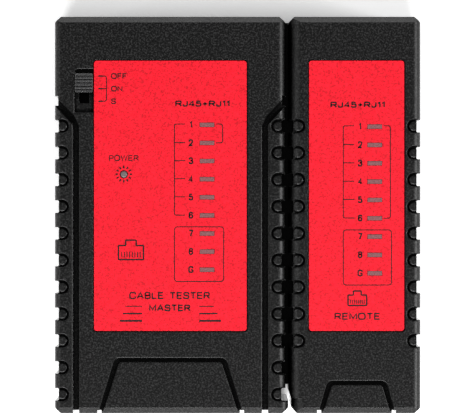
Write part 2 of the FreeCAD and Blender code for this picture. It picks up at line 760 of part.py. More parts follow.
def led_windows(unit, name):
    """The slots in the front wall for the bar LEDs."""
    return [
        box(
            "%s_%d" % (name, number), about(unit["led"][0], LED_WINDOW_X),
            about(led_y(unit, number), LED_WINDOW_Y), ("thickness - 2 * wall", ABOVE))
        for number in range(len(BAR_LEDS))
    ]


def channel(name):
    """The block inside the master that the T-slot runs through."""
    x = (inward(SEAM, -1, "channel_reach"), SEAM)
    return box(name, x, ("channel_low", TOP), about("parting", "channel_half"))


def rail_slot(name):
    """The T-slot: a wide part for the rail's head and a narrow part for its web."""
    run = ("rail_low - rail_gap", TOP + " + 1")
    head_x = (inward(SEAM, -1, "lip + head_thick + 2 * rail_gap"), inward(SEAM, -1, "lip"))
    web_x = (inward(SEAM, -1, "lip + rail_gap"), inward(SEAM, -1, BELOW))
    return [
        box(name + "_head", head_x, run, about("parting", "head_half + rail_gap")),
        box(name + "_web", web_x, run, about("parting", "web_half + rail_gap")),
    ]


def rail(name, side):
    """Half of the remote's T-rail: side is -1 under the parting, 1 over it."""
    run = ("rail_low", TOP + " - rail_short")
    head_x = (inward(SEAM, -1, "lip + head_thick + rail_gap"), inward(SEAM, -1, "lip + rail_gap"))
    web_x = (inward(SEAM, -1, "lip + rail_gap"), inward(REMOTE["left"], 1, "wall"))
    return [
        box(name + "_head", head_x, run, span("parting", inward("parting", side, "head_half"), side)),
        box(name + "_web", web_x, run, span("parting", inward("parting", side, "web_half"), side)),
    ]


def stem_slot(name, height):
    """Room for the switch's stem over its whole travel."""
    reach = "stem_long / 2 + stem_gap"
    y = ("knob_y - knob_travel - (%s)" % reach, "knob_y + " + reach)
    return box(name, about("knob_x", "stem_wide / 2 + stem_gap"), y, height)


def switch_bay(name):
    """The shallow bay in the front face that the knob slides in."""
    block = box(
        name + "_block", ("bay_left", "bay_right"), ("bay_low", "bay_high"),
        ("thickness - bay_depth", ABOVE))
    return rounded(name, block, "bay_round", corner_at("bay_left", "bay_high"))


def front_rims(unit):
    """Picks the sharp rims of pockets, grooves and switch bay in the front face."""
    thickness = value("thickness")
    foot_edge = value(FOOT + " + end_chamfer")
    arch_high = value(unit["arch"]["high"] + " + arch_width / 2")
    arch_left, arch_right = (value(x) for x in unit["arch"]["foot"])
    bay = [value(x) for x in ("bay_left", "bay_right", "bay_low", "bay_high")]
    lines = [value(x) for side, outer, face, sign in long_grooves(MASTER)
             for x in (outer, inward(outer, sign, "groove_width"))]

    def picked(edge):
        bounds = edge.BoundBox
        if bounds.ZMin < thickness - TINY:
            return False
        middle = edge.CenterOfMass
        if isinstance(edge.Curve, Part.Circle) and abs(edge.Curve.Radius - value("grip_radius")) < TINY:
            return True
        in_arch = arch_left - 1 < middle.x < arch_right + 1 and middle.y < arch_high + TINY
        if in_arch and middle.y > foot_edge + TINY:
            return True
        if unit is REMOTE:
            return False
        in_bay = bay[0] - TINY < middle.x < bay[1] - TINY and bay[2] - TINY < middle.y < bay[3] + TINY
        return in_bay or any(runs_along("y")(edge) and abs(middle.x - x) < TINY for x in lines)
    return picked


def front_shell(unit):
    """The front half of a case, with its screw bosses inside and everything cut into its face."""
    name = unit["name"] + "_front_shell"
    keep = []
    tools = []
    for number, (x, y) in enumerate(unit["case_screws"]):
        hole = ("parting - 1", "case_seat + case_screw_long + 1")
        keep.append(rod("%s_boss_%d" % (name, number), x, y, ("parting - 1", "thickness"), "case_boss"))
        tools.append(rod("%s_pilot_%d" % (name, number), x, y, hole, "case_shank + case_fit"))
    for number, (x, y) in enumerate(unit["board_screws"]):
        hole = (BOARD_HIGH + " - 1", "board_pilot_end")
        keep.append(rod("%s_post_%d" % (name, number), x, y, (BOARD_HIGH, "thickness"), "board_boss"))
        tools.append(rod("%s_post_pilot_%d" % (name, number), x, y, hole, "board_shank + board_fit"))
    if unit is MASTER:
        keep.append(channel(name + "_channel"))
        tools += rail_slot(name + "_slot")
        tools += [switch_bay(name + "_bay"), stem_slot(name + "_stem", ("thickness - 2 * wall", "thickness"))]
        tools.append(rod(
            name + "_power_window", "power_led_x", "power_led_y", ("thickness - 2 * wall", "thickness"),
            "power_led_radius + led_gap"))
        for side, outer, face, sign in long_grooves(unit):
            tools.append(groove_path("%s_%s_groove" % (name, side), outer, face, sign))
            tools += groove_notches("%s_%s_notch" % (name, side), outer, face, sign)
    room = inner_box(unit, name + "_room", "parting - 1", "thickness - wall")
    tools.append(cut(name + "_hollow", room, keep))
    bed_x = ("%s - label_gap" % unit["label"][0], "%s + label_gap" % unit["label"][1])
    bed_y = ("label_low - label_gap", "label_high + label_gap")
    tools.append(rounded_box(
        name + "_label_bed", bed_x, bed_y, ("thickness - label_recess", ABOVE), "bed_round"))
    tools += led_windows(unit, name + "_led")
    tools += grip_notches(unit, name + "_grip") + grip_pockets(unit, name + "_pocket")
    tools += [arch_path(unit, name + "_arch")] + arch_notches(unit, name + "_leg")
    tools += jack_windows(unit, name + "_window")
    tools.append(parting_line(unit, name + "_parting"))
    blank = cut(name + "_blank", half_block(unit, name, "parting", "thickness"), tools)
    softened = rounded(name + "_softened", blank, "rim_round", front_rims(unit))
    extras = [grip_beads(unit, name + "_beads")]
    if unit is REMOTE:
        extras += rail(name + "_rail", 1)
    return fuse(name, [softened] + extras)


def battery_bay(name):
    """What the master's rear shell keeps round the battery: ledges, side walls and an end wall."""
    inner = FOOT + " + wall"
    back = "bay_wall_y + bay_wall"
    ledge_z = ("wall / 2", "wall + ledge_tall")
    wall_z = ("wall / 2", "parting + 1")
    keep = []
    for side, edge, sign in (("left", "door_left + ledge_lap", -1), ("right", "door_right - ledge_lap", 1)):
        ledge = span(edge, inward(edge, sign, "ledge_wide"), sign)
        wall = span(edge, inward(edge, sign, "bay_wall"), sign)
        keep.append(box("%s_%s_ledge" % (name, side), ledge, (inner, back), ledge_z))
        keep.append(box("%s_%s_wall" % (name, side), wall, (inner, back), wall_z))
    across = ("door_left", "door_right")
    end_wall = box(name + "_end_block", across, ("bay_wall_y", back), wall_z)
    notch = box(
        name + "_lead_notch", ("lead_notch_left", "lead_notch_right"), ("bay_wall_y - 1", back + " + 1"),
        ("lead_notch_low", "parting + 2"))
    keep.append(cut(name + "_end_wall", end_wall, [notch]))
    keep.append(box(name + "_end_ledge", across, ("door_high", back), ledge_z))
    return keep


def door_opening(name):
    """The opening in the back for the battery door, with grooves for its tongues."""
    opening = box(
        name + "_opening", ("door_left - door_gap", "door_right + door_gap"),
        (FOOT + " - 1", "door_high + door_gap"), (BELOW, "wall"))
    grooves = box(
        name + "_grooves",
        ("door_left - tongue_reach - door_gap", "door_right + tongue_reach + door_gap"),
        (FOOT + " - 1", "door_high + tongue_reach + door_gap"), ("tongue_low - tongue_play", "wall"))
    return [opening, grooves]


def rear_shell(unit):
    """The rear half of a case, with a pillar and a sunk seat for every case screw."""
    name = unit["name"] + "_rear_shell"
    keep = []
    tools = []
    for number, (x, y) in enumerate(unit["case_screws"]):
        hole = ("case_seat - 1", "parting + 1")
        keep.append(rod("%s_pillar_%d" % (name, number), x, y, ("0", "parting + 1"), "case_pillar"))
        tools.append(rod("%s_well_%d" % (name, number), x, y, (BELOW, "case_seat"), "case_counterbore"))
        tools.append(rod("%s_hole_%d" % (name, number), x, y, hole, "case_shank + case_slack"))
    if unit is MASTER:
        keep.append(channel(name + "_channel"))
        keep += battery_bay(name + "_bay")
        tools += rail_slot(name + "_slot")
        tools += door_opening(name + "_door")
        for side, outer, face, sign in long_grooves(unit):
            tools += groove_notches("%s_%s_notch" % (name, side), outer, face, sign)
    room = inner_box(unit, name + "_room", "wall", "parting + 1")
    tools.append(cut(name + "_hollow", room, keep))
    tools += grip_notches(unit, name + "_grip")
    tools += arch_notches(unit, name + "_leg")
    tools += jack_windows(unit, name + "_window")
    tools.append(parting_line(unit, name + "_parting"))
    shell = cut(name, half_block(unit, name, "0", "parting"), tools)
    if unit is REMOTE:
        shell = fuse(name + "_railed", [shell] + rail(name + "_rail", -1))
    return shell


# ---------------------------------------------------------------- labels and boards

def label(unit):
    """The printed label, with a window for each LED."""
    name = unit["name"] + "_label"
    low = "thickness - label_recess"
    body = new_body(name)
    outline = rectangle(unit["label"], ("label_low", "label_high"))
    pad(body, name + "_pad", body_sketch(body, name + "_plan", "XY_Plane", low, [outline]), "label_sheet")
    doc.recompute()
    plain = body.Tip
    upright = [number for number, edge in enumerate(plain.Shape.Edges, 1) if runs_along("z")(edge)]
    corners = body.newObject("PartDesign::Fillet", name + "_corners")
    corners.Base = (plain, ["Edge%d" % number for number in upright])
    bind(corners, "Radius", "label_round")
    windows = [
        rectangle(about(unit["led"][0], LED_WINDOW_X), about(led_y(unit, number), LED_WINDOW_Y))
        for number in range(len(BAR_LEDS))
    ]
    circles = [("power_led_x", "power_led_y", "power_led_radius + led_gap")] if unit is MASTER else []
    holes = body_sketch(body, name + "_holes", "XY_Plane", low + " + label_sheet", windows, circles)
    pocket(body, name + "_windows", holes, "2 * label_sheet")
    return body


def circuit_board(unit):
    """A board with holes for its screws and for the jacks' solder tails."""
    name = unit["name"] + "_circuit_board"
    body = new_body(name)
    plan = body_sketch(body, name + "_plan", "XY_Plane", "board_low", [unit["board"]])
    pad(body, name + "_pad", plan, "board_sheet")
    circles = [(x, y, "board_shank + drill_gap") for x, y in unit["board_screws"]]
    slots = []
    for kind, x, ways in unit["jacks"]:
        reach = "%d * contact_pitch / 2 + contact_wire / 2 + drill_gap / 2" % (ways - 1)
        for row in range(2):
            y = contact_tail(row)
            slots.append(rectangle(about(x, reach), (y + " - drill_gap", y + " + contact_wire + drill_gap")))
    holes = body_sketch(body, name + "_holes", "XY_Plane", BOARD_HIGH, slots, circles)
    pocket(body, name + "_drilling", holes, "2 * board_sheet")
    return body


# ---------------------------------------------------------------- jacks

def contact_tail(row):
    """Where a contact's tail goes through the board; two staggered rows."""
    return "(%s - jack_deep + contact_first + %d * contact_rows)" % (JACK_FACE, row)


def jack_housing(unit, kind, x):
    """A modular jack: a stepped socket for the plug and its latch, and a tray for the contacts."""
    name = "%s_%s_jack" % (unit["name"], kind)
    body = new_body(name)
    block = rectangle(about(x, "%s_wide / 2" % kind), ("board_low - jack_tall", "board_low"))
    back = body_sketch(body, name + "_back", "XZ_Plane", "(%s - jack_deep)" % JACK_FACE, [block])
    pad(body, name + "_pad", back, "jack_deep")
    body.Tip.Reversed = True
    steps = (
        ("socket", "%s_mouth" % kind, "socket_low", "socket_high", "socket_deep"),
        ("keyway", "latch_wide", "latch_floor", "socket_low", "latch_deep"),
        ("slot", "latch_slot_wide", "latch_slot_floor", "latch_floor", "latch_deep"),
    )
    for step, wide, low, high, deep in steps:
        shape = rectangle(about(x, "%s / 2" % wide), (low, high))
        sketch = body_sketch(body, "%s_%s_shape" % (name, step), "XZ_Plane", JACK_FACE, [shape])
        pocket(body, "%s_%s" % (name, step), sketch, deep, True)
    tray = rectangle(
        about(x, "%s_mouth / 2 - 1" % kind), (JACK_FACE + " - jack_deep + 1", JACK_FACE + " - 3"))
    sketch = body_sketch(body, name + "_tray_shape", "XY_Plane", "board_low", [tray])
    pocket(body, name + "_tray", sketch, "board_low - socket_high + tray_roof")
    return body


def jack_contacts(unit, kind, x, ways):
    """Sprung contacts: a tail up through the board, a run along the tray and a slope into the socket."""
    name = "%s_%s_contacts" % (unit["name"], kind)
    roof = "(socket_high + contact_lift)"
    tip = "(socket_high - contact_dip)"
    front = "(%s - contact_front)" % JACK_FACE
    slope_end = front + " - contact_slope"
    tail_end = BOARD_HIGH + " + tail_proud"
    wires = []
    for number in range(ways):
        tail = contact_tail(number % 2)
        low = "(%s + (%s) * contact_pitch - contact_wire / 2)" % (x, number - (ways - 1) / 2)
        points = [
            (tail, tail_end),
            (tail, roof),
            (front + " - 1.1", roof),
            (slope_end, tip + " + contact_wire"),
            (slope_end, tip),
            (front, roof + " - 0.1"),
            (front, roof + " + contact_wire"),
            (tail + " + contact_wire", roof + " + contact_wire"),
            (tail + " + contact_wire", tail_end),
        ]
        wires.append(prism("%s_%d" % (name, number), "x", low, low + " + contact_wire", points))
    return group(name, wires)


# ---------------------------------------------------------------- LEDs and the switch

def bar_led(unit, number):
    """An LED with a bar-shaped lens that fills its window in the front."""
    name = "%s_led_%s" % (unit["name"], BAR_LEDS[number])
    x, y = unit["led"][0], led_y(unit, number)
    lens = box(
        name + "_lens", about(x, "led_long / 2"), about(y, "led_short / 2"),
        (BOARD_HIGH, "thickness - led_drop"))
    rim = box(
        name + "_rim", about(x, "led_long / 2 + led_flange"), about(y, "led_short / 2 + led_flange"),
        (BOARD_HIGH, BOARD_HIGH + " + led_flange_tall"))
    return fuse(name, [lens, rim])


def power_led():
    """A small round LED with a domed lens."""
    layers = (
        ("case", "thickness - wall - 0.2", "power_led_body"),
        ("rim", BOARD_HIGH + " + power_led_rim_tall", "power_led_rim"),
        ("lens", "thickness - led_drop", "power_led_radius"),
    )
    joined = fuse("power_led_joined", [
        rod("power_led_" + layer, "power_led_x", "power_led_y", (BOARD_HIGH, high), radius)
        for layer, high, radius in layers])
    top = value("thickness - led_drop")
    return rounded("power_led", joined, "power_led_radius / 2", lambda edge: edge.BoundBox.ZMin > top - TINY)


def switch_frame():
    """The slide switch's pressed steel frame, open along the top for the stem."""
    case = rounded_box(
        "switch_frame_case", about("knob_x", "switch_wide / 2"),
        about("knob_y - knob_travel / 2", "switch_long / 2"), (BOARD_HIGH, BOARD_HIGH + " + switch_tall"),
        "switch_round")
    slot = stem_slot("switch_frame_slot", (BOARD_HIGH + " + switch_floor", "thickness"))
    return cut("switch_frame", case, [slot])


def switch_slider():
    """The moving knob: a ribbed cap in the bay on a stem that reaches into the switch."""
    low, high = "(thickness - bay_depth + knob_gap)", "(thickness + knob_proud)"
    cap = rounded_box(
        "switch_cap", about("knob_x", "knob_wide / 2"), about("knob_y", "knob_long / 2"), (low, high),
        "knob_round")
    grooves = [
        box(
            "switch_groove_%d" % number, about("knob_x", "knob_wide"),
            about("knob_y + (%d) * knob_groove_pitch" % (number - 2), "knob_groove_wide / 2"),
            (high + " - knob_groove_deep", high + " + 1"))
        for number in range(5)
    ]
    stem = box(
        "switch_stem", about("knob_x", "stem_wide / 2"), about("knob_y", "stem_long / 2"),
        (BOARD_HIGH + " + switch_floor + stem_lift", low + " + knob_proud"))
    return fuse("switch_slider", [cut("switch_ribbed", cap, grooves), stem])


# ---------------------------------------------------------------- components on the boards

def dip_chip(name, x, y, pins):
    """A dual in-line chip under the board, its legs meeting the board."""
    columns = pins // 2
    half = "%s * pin_pitch - chip_margin" % (columns / 2)
    body = box(
        name + "_body", about(x, half), about(y, "chip_half"),
        ("board_low - chip_low", "board_low - chip_high"))
    dimple = rod(
        name + "_dimple", "%s - (%s * pin_pitch - dimple_inset)" % (x, columns / 2), y,
        ("board_low - chip_low - 1", "board_low - chip_low + dimple_deep"), "dimple_radius")
    pieces = [cut(name + "_moulding", body, [dimple])]
    for number in range(columns):
        leg_x = "%s + (%s) * pin_pitch" % (x, number - (columns - 1) / 2)
        for row, sign in (("a", -1), ("b", 1)):
            edge = inward(y, sign, "chip_half - chip_leg_lap")
            pieces.append(box(
                "%s_leg_%s%d" % (name, row, number), about(leg_x, "chip_leg"),
                span(edge, inward(edge, sign, "chip_leg_thick"), sign),
                ("board_low - chip_leg_low", "board_low")))
    return fuse(name, pieces)


def axial_part(name, kind, x, y):
    """A resistor or diode under the board, lying along X with both leads bent up to the board."""
    radius, half, reach = kind + "_radius", kind + "_half", kind + "_reach"
    level = "(board_low - %s - wire_lift)" % radius
    pieces = [
        rod(name + "_body", about(x, half), y, level, radius, "x"),
        rod(name + "_wire", about(x, reach), y, level, "wire_radius", "x"),
    ]
    for side, sign in (("a", -1), ("b", 1)):
        bend_x = inward(x, sign, "%s - wire_radius" % reach)
        pieces.append(rod("%s_bend_%s" % (name, side), bend_x, y, (level, "board_low"), "wire_radius"))
    return fuse(name, pieces)


def axial_column(name, kind, x, first, pitch, count):
    """Resistors or diodes side by side in a column."""
    return group(name, [
        axial_part("%s_%d" % (name, number), kind, x, str(first + pitch * number))
        for number in range(count)])


def capacitor():
    """The timing capacitor, a can that stands under the board, with a crimped ring."""
    can = rod("capacitor_can", "can_x", "can_y", ("board_low - can_tall", "board_low"), "can_radius")
    ring_z = ("board_low - can_ring_low", "board_low - can_ring_high")
    outer = rod("capacitor_ring_outer", "can_x", "can_y", ring_z, "can_radius + 1")
    core = rod("capacitor_ring_core", "can_x", "can_y", ring_z, "can_radius - can_ring_deep")
    return cut("timing_capacitor", can, [cut("capacitor_ring", outer, [core])])


# ---------------------------------------------------------------- battery, door and leads

BATTERY_X = "((door_left + door_right) / 2)"
BATTERY_TOP = "(battery_end + battery_long)"
BATTERY_Z = "(battery_low + battery_thick / 2)"


def battery():
    return rounded_box(
        "battery", about(BATTERY_X, "battery_wide / 2"), ("battery_end", BATTERY_TOP),
        about(BATTERY_Z, "battery_thick / 2"), "battery_round", "y")


def battery_terminals():
    """The round stud and the hollow crown on the end of the battery."""
    stud_x, crown_x = about(BATTERY_X, "snap_span / 2")
    run = (BATTERY_TOP, BATTERY_TOP + " + snap_tall")
    hollow = (BATTERY_TOP + " + crown_floor", BATTERY_TOP + " + 2 * snap_tall")
    crown = cut(
        "battery_crown", rod("battery_crown_outer", crown_x, run, BATTERY_Z, "crown_radius", "y"),
        [rod("battery_crown_bore", crown_x, hollow, BATTERY_Z, "crown_bore", "y")])
    stud = rod("battery_stud", stud_x, run, BATTERY_Z, "stud_radius", "y")
    return group("battery_terminals", [stud, crown])


def snap_connector():
    """The moulded connector that snaps over both terminals."""
    low, high = BATTERY_TOP + " + connector_gap", BATTERY_TOP + " + snap_tall + connector_back"
    block = rounded_box(
        "snap_block", about(BATTERY_X, "connector_half"), (low, high), about(BATTERY_Z, "connector_side"),
        "connector_round", "y")
    depth = (low + " - 1", BATTERY_TOP + " + snap_tall + connector_play")
    wells = [
        rod("snap_well_%d" % number, x, depth, BATTERY_Z, "connector_well", "y")
        for number, x in enumerate(about(BATTERY_X, "snap_span / 2"))
    ]
    return cut("battery_snap_connector", block, wells)


def bent_tube(name, route, radius):
    """A round tube along straight runs joined by tangent arcs, each as large as its runs allow."""
    points = [FreeCAD.Vector(*(value(part) for part in point)) for point in route]
    share = 0.45  # of the shorter run, from its corner to the end of the arc
    edges = []
    start = points[0]
    for before, corner, after in zip(points, points[1:], points[2:]):
        into = (corner - before).normalize()
        out = (after - corner).normalize()
        turn = into.getAngle(out)
        tangent = share * min((corner - before).Length, (after - corner).Length)
        bend = tangent / math.tan(turn / 2)
        print("%s: bend radius %.1f mm" % (name, bend))
        first, last = corner - into * tangent, corner + out * tangent
        inside = (out - into).normalize()
        middle = corner + inside * (bend / math.cos(turn / 2) - bend)
        edges.append(Part.LineSegment(start, first).toShape())
        edges.append(Part.Arc(first, middle, last).toShape())
        start = last
    edges.append(Part.LineSegment(start, points[-1]).toShape())
    path = Part.Wire(edges)
    facing = (points[1] - points[0]).normalize()
    section = Part.Wire([Part.makeCircle(radius, points[0], facing)])
    tube = doc.addObject("Part::Feature", name)
    tube.Shape = path.makePipeShell([section], True, False)
    expected = math.pi * radius ** 2 * path.Length
    print("%s: length %.1f mm" % (name, path.Length))
    if abs(tube.Shape.Volume / expected - 1) > 0.01:
        raise ValueError("%s has volume %.2f, not %.2f" % (name, tube.Shape.Volume, expected))
    return tube


def battery_lead(name, start_x, end_x):
    """A lead from the snap connector, through the bay's end wall and up to the board."""
    route = [
        (start_x, BATTERY_TOP + " + snap_tall + connector_back", "lead_level"),
        (start_x, "lead_bend_y", "lead_level"),
        (end_x, "lead_board_y", "lead_notch_level"),
        (end_x, "lead_board_y", "board_low"),
    ]
    return bent_tube(name, route, value("lead_radius"))


def battery_door():
    """The door in the back, with tongues along both sides and its upper edge and a ribbed thumb grip."""
    name = "battery_door"
    plate = box(name + "_plate", ("door_left", "door_right"), (FOOT, "door_high"), ("0", "door_sheet"))
    form = common(name + "_form", [plate, unit_block(MASTER, name + "_limit")])
    tongue_z = ("tongue_low", "door_sheet")
    sides = box(
        name + "_tongues", ("door_left - tongue_reach", "door_right + tongue_reach"),
        (FOOT + " + tongue_start", "door_high"), tongue_z)
    top = box(
        name + "_top_tongue", ("door_left + tongue_inset", "door_right - tongue_inset"),
        ("door_high - 1", "door_high + tongue_reach"), tongue_z)
    ribs = []
    for number in range(5):
        low = "grip_rib_y + %d * grip_rib_pitch" % number
        ribs.append(box(
            "%s_rib_%d" % (name, number), about(BATTERY_X, "grip_rib_half"), (low, low + " + grip_rib_wide"),
            (BELOW, "grip_rib_deep")))
    return cut(name, fuse(name + "_tongued", [form, sides, top]), ribs)


def battery_pad():
    """A foam pad under the board that keeps the battery from rattling."""
    y = (BATTERY_TOP + " - pad_low", BATTERY_TOP + " - pad_high")
    return box("battery_pad", about(BATTERY_X, "pad_half"), y, ("board_low - pad_sheet", "board_low"))


# ---------------------------------------------------------------- screws

def pan_screw(name, kind, x, y, seat):
    """A pan-head screw pointing up, with a cross recess in its head; kind is case or board."""
    shank, head, tall = kind + "_shank", kind + "_head", kind + "_head_tall"
    neck = "%s + %s_screw_long - screw_tip" % (seat, kind)
    stem = rod(name + "_stem", x, y, (seat + " - 0.4", neck), shank)
    tip = doc.addObject("Part::Cone", name + "_tip")
    bind(tip, "Radius1", shank)
    bind(tip, "Radius2", "%s * 0.3" % shank)
    bind(tip, "Height", "screw_tip")
    for axis, place in zip("xyz", (x, y, neck)):
        bind(tip, "Placement.Base." + axis, place)
    cap = rod(name + "_head", x, y, ("%s - %s" % (seat, tall), seat), head)
    low = value("%s - %s" % (seat, tall))
    crowned = rounded(name + "_crown", cap, "%s * 0.45" % tall, lambda edge: edge.BoundBox.ZMax < low + TINY)
    recess = ("%s - %s - 1" % (seat, tall), "%s - %s * 0.45" % (seat, tall))
    reach = "%s * 0.55" % head
    arms = [
        box(name + "_arm_x", about(x, reach), about(y, "cross_arm"), recess),
        box(name + "_arm_y", about(x, "cross_arm"), about(y, reach), recess),
    ]
    return fuse(name, [cut(name + "_driven", crowned, arms), stem, tip])


def screw_set(unit, kind, seat):
    """All screws of one kind in a unit."""
    name = "%s_%s_screws" % (unit["name"], kind)
    return group(name, [
        pan_screw("%s_%d" % (name, number), kind, x, y, seat)
        for number, (x, y) in enumerate(unit[kind + "_screws"])])


# ---------------------------------------------------------------- the assembly

def unit_parts(unit):
    """The pieces that both units have, by node name."""
    name = unit["name"]
    parts = {
        name + "_front_shell": front_shell(unit),
        name + "_rear_shell": rear_shell(unit),
        name + "_label": label(unit),
        name + "_circuit_board": circuit_board(unit),
        name + "_case_screws": screw_set(unit, "case", "case_seat"),
        name + "_board_screws": screw_set(unit, "board", "board_low"),
    }
    for kind, x, ways in unit["jacks"]:
        parts["%s_%s_jack" % (name, kind)] = jack_housing(unit, kind, x)
        parts["%s_%s_contacts" % (name, kind)] = jack_contacts(unit, kind, x, ways)
    for number, tag in enumerate(BAR_LEDS):
        parts["%s_led_%s" % (name, tag)] = bar_led(unit, number)
    return parts


def build():
    """Every piece of the tester, by node name."""
    return {
        **unit_parts(MASTER),
        **unit_parts(REMOTE),
        "power_led": power_led(),
        "switch_frame": switch_frame(),
        "switch_slider": switch_slider(),
        "counter_chip": dip_chip("counter_chip", "-24", "25.5", 16),
        "timer_chip": dip_chip("timer_chip", "-40", "12", 8),
        "timing_capacitor": capacitor(),
        "master_resistors": axial_column("master_resistors", "resistor", "-28", 10, 3, 4),
        "master_diodes": axial_column("master_diodes", "diode", "-2", 8, 3, 4),
        "remote_resistor": axial_part("remote_resistor", "resistor", "33", "-12"),
        "remote_diodes": axial_column("remote_diodes", "diode", "31", -6, 3.4, 8),
        "battery": battery(),
        "battery_terminals": battery_terminals(),
        "battery_snap_connector": snap_connector(),
        "battery_lead_red": battery_lead("battery_lead_red", "-9", "-10"),
        "battery_lead_black": battery_lead("battery_lead_black", "-12", "-14"),
        "battery_door": battery_door(),
        "battery_pad": battery_pad(),
    }


def check_and_write(parts):
    """Stops on any failed object, then writes each piece to its own file."""
    doc.recompute()
    for thing in doc.Objects:
        if "Invalid" in thing.State or "Error" in thing.State:
            raise ValueError("%s failed: %s" % (thing.Name, thing.State))
    os.makedirs("parts", exist_ok=True)
    for node, part in parts.items():
        part.Label = node
        if part.Shape.isNull() or not part.Shape.isValid():
            raise ValueError(node + " has no valid shape")
        part.Shape.exportStep("parts/%s.step" % node)
        print("%-26s %2d solids %10.1f mm3" % (node, len(part.Shape.Solids), part.Shape.Volume))


check_and_write(build())
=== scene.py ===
import json
import math

import bmesh
import bpy
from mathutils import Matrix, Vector


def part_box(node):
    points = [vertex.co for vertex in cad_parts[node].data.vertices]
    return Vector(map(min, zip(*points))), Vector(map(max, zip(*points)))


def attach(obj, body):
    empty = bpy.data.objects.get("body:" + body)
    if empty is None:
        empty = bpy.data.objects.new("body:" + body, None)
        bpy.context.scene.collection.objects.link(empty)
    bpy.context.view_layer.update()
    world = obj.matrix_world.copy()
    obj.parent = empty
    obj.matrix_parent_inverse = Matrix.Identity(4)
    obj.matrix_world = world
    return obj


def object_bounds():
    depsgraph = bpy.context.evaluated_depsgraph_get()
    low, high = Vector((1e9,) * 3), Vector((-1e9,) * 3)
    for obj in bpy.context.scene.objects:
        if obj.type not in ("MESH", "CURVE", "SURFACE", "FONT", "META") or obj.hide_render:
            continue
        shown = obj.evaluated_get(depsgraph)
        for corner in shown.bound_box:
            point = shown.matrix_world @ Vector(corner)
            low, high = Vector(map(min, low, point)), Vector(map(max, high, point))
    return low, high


# The looks of a two-piece network cable tester: moulded black cases, red printed labels with
# their legends as thin ink, milky LED lenses, and a plain studio. Lengths are in millimetres
# until a mesh is made.

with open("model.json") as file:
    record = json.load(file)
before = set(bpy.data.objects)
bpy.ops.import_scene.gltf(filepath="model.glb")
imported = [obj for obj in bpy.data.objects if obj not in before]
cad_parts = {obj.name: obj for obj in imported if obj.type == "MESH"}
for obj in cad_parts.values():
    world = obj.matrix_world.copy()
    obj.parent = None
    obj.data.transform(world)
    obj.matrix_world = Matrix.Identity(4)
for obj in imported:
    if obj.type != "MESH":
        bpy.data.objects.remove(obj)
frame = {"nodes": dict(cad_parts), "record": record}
cad_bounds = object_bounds()
NODES = frame["nodes"]
MM = 0.001


# ---------------------------------------------------------------- sizes, read from the frame

def node_box(name):
    """Lowest and highest corner of a CAD node, in millimetres."""
    low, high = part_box(name)
    return Vector(low) / MM, Vector(high) / MM


def middle(name):
    low, high = node_box(name)
    return (low + high) / 2


LED_TAGS = ("1", "2", "3", "4", "5", "6", "7", "8", "g")


# ---------------------------------------------------------------- letters

FINE, NORMAL, BOLD = 0.26, 0.41, 0.54  # line widths
LETTER_GAP, WORD_GAP = 0.34, 0.85  # between letters and between words, as a share of their height
ROUND = 0.36  # how far a letter's round corners reach, as a share of its height


def straight(*points):
    """A stroke with sharp corners: its rounding, whether it is closed, and its points."""
    return 0, False, points


def curve(rounding, *points):
    return rounding, False, points


def ring(rounding, *points):
    return rounding, True, points


SPACE = (WORD_GAP - LETTER_GAP, ())

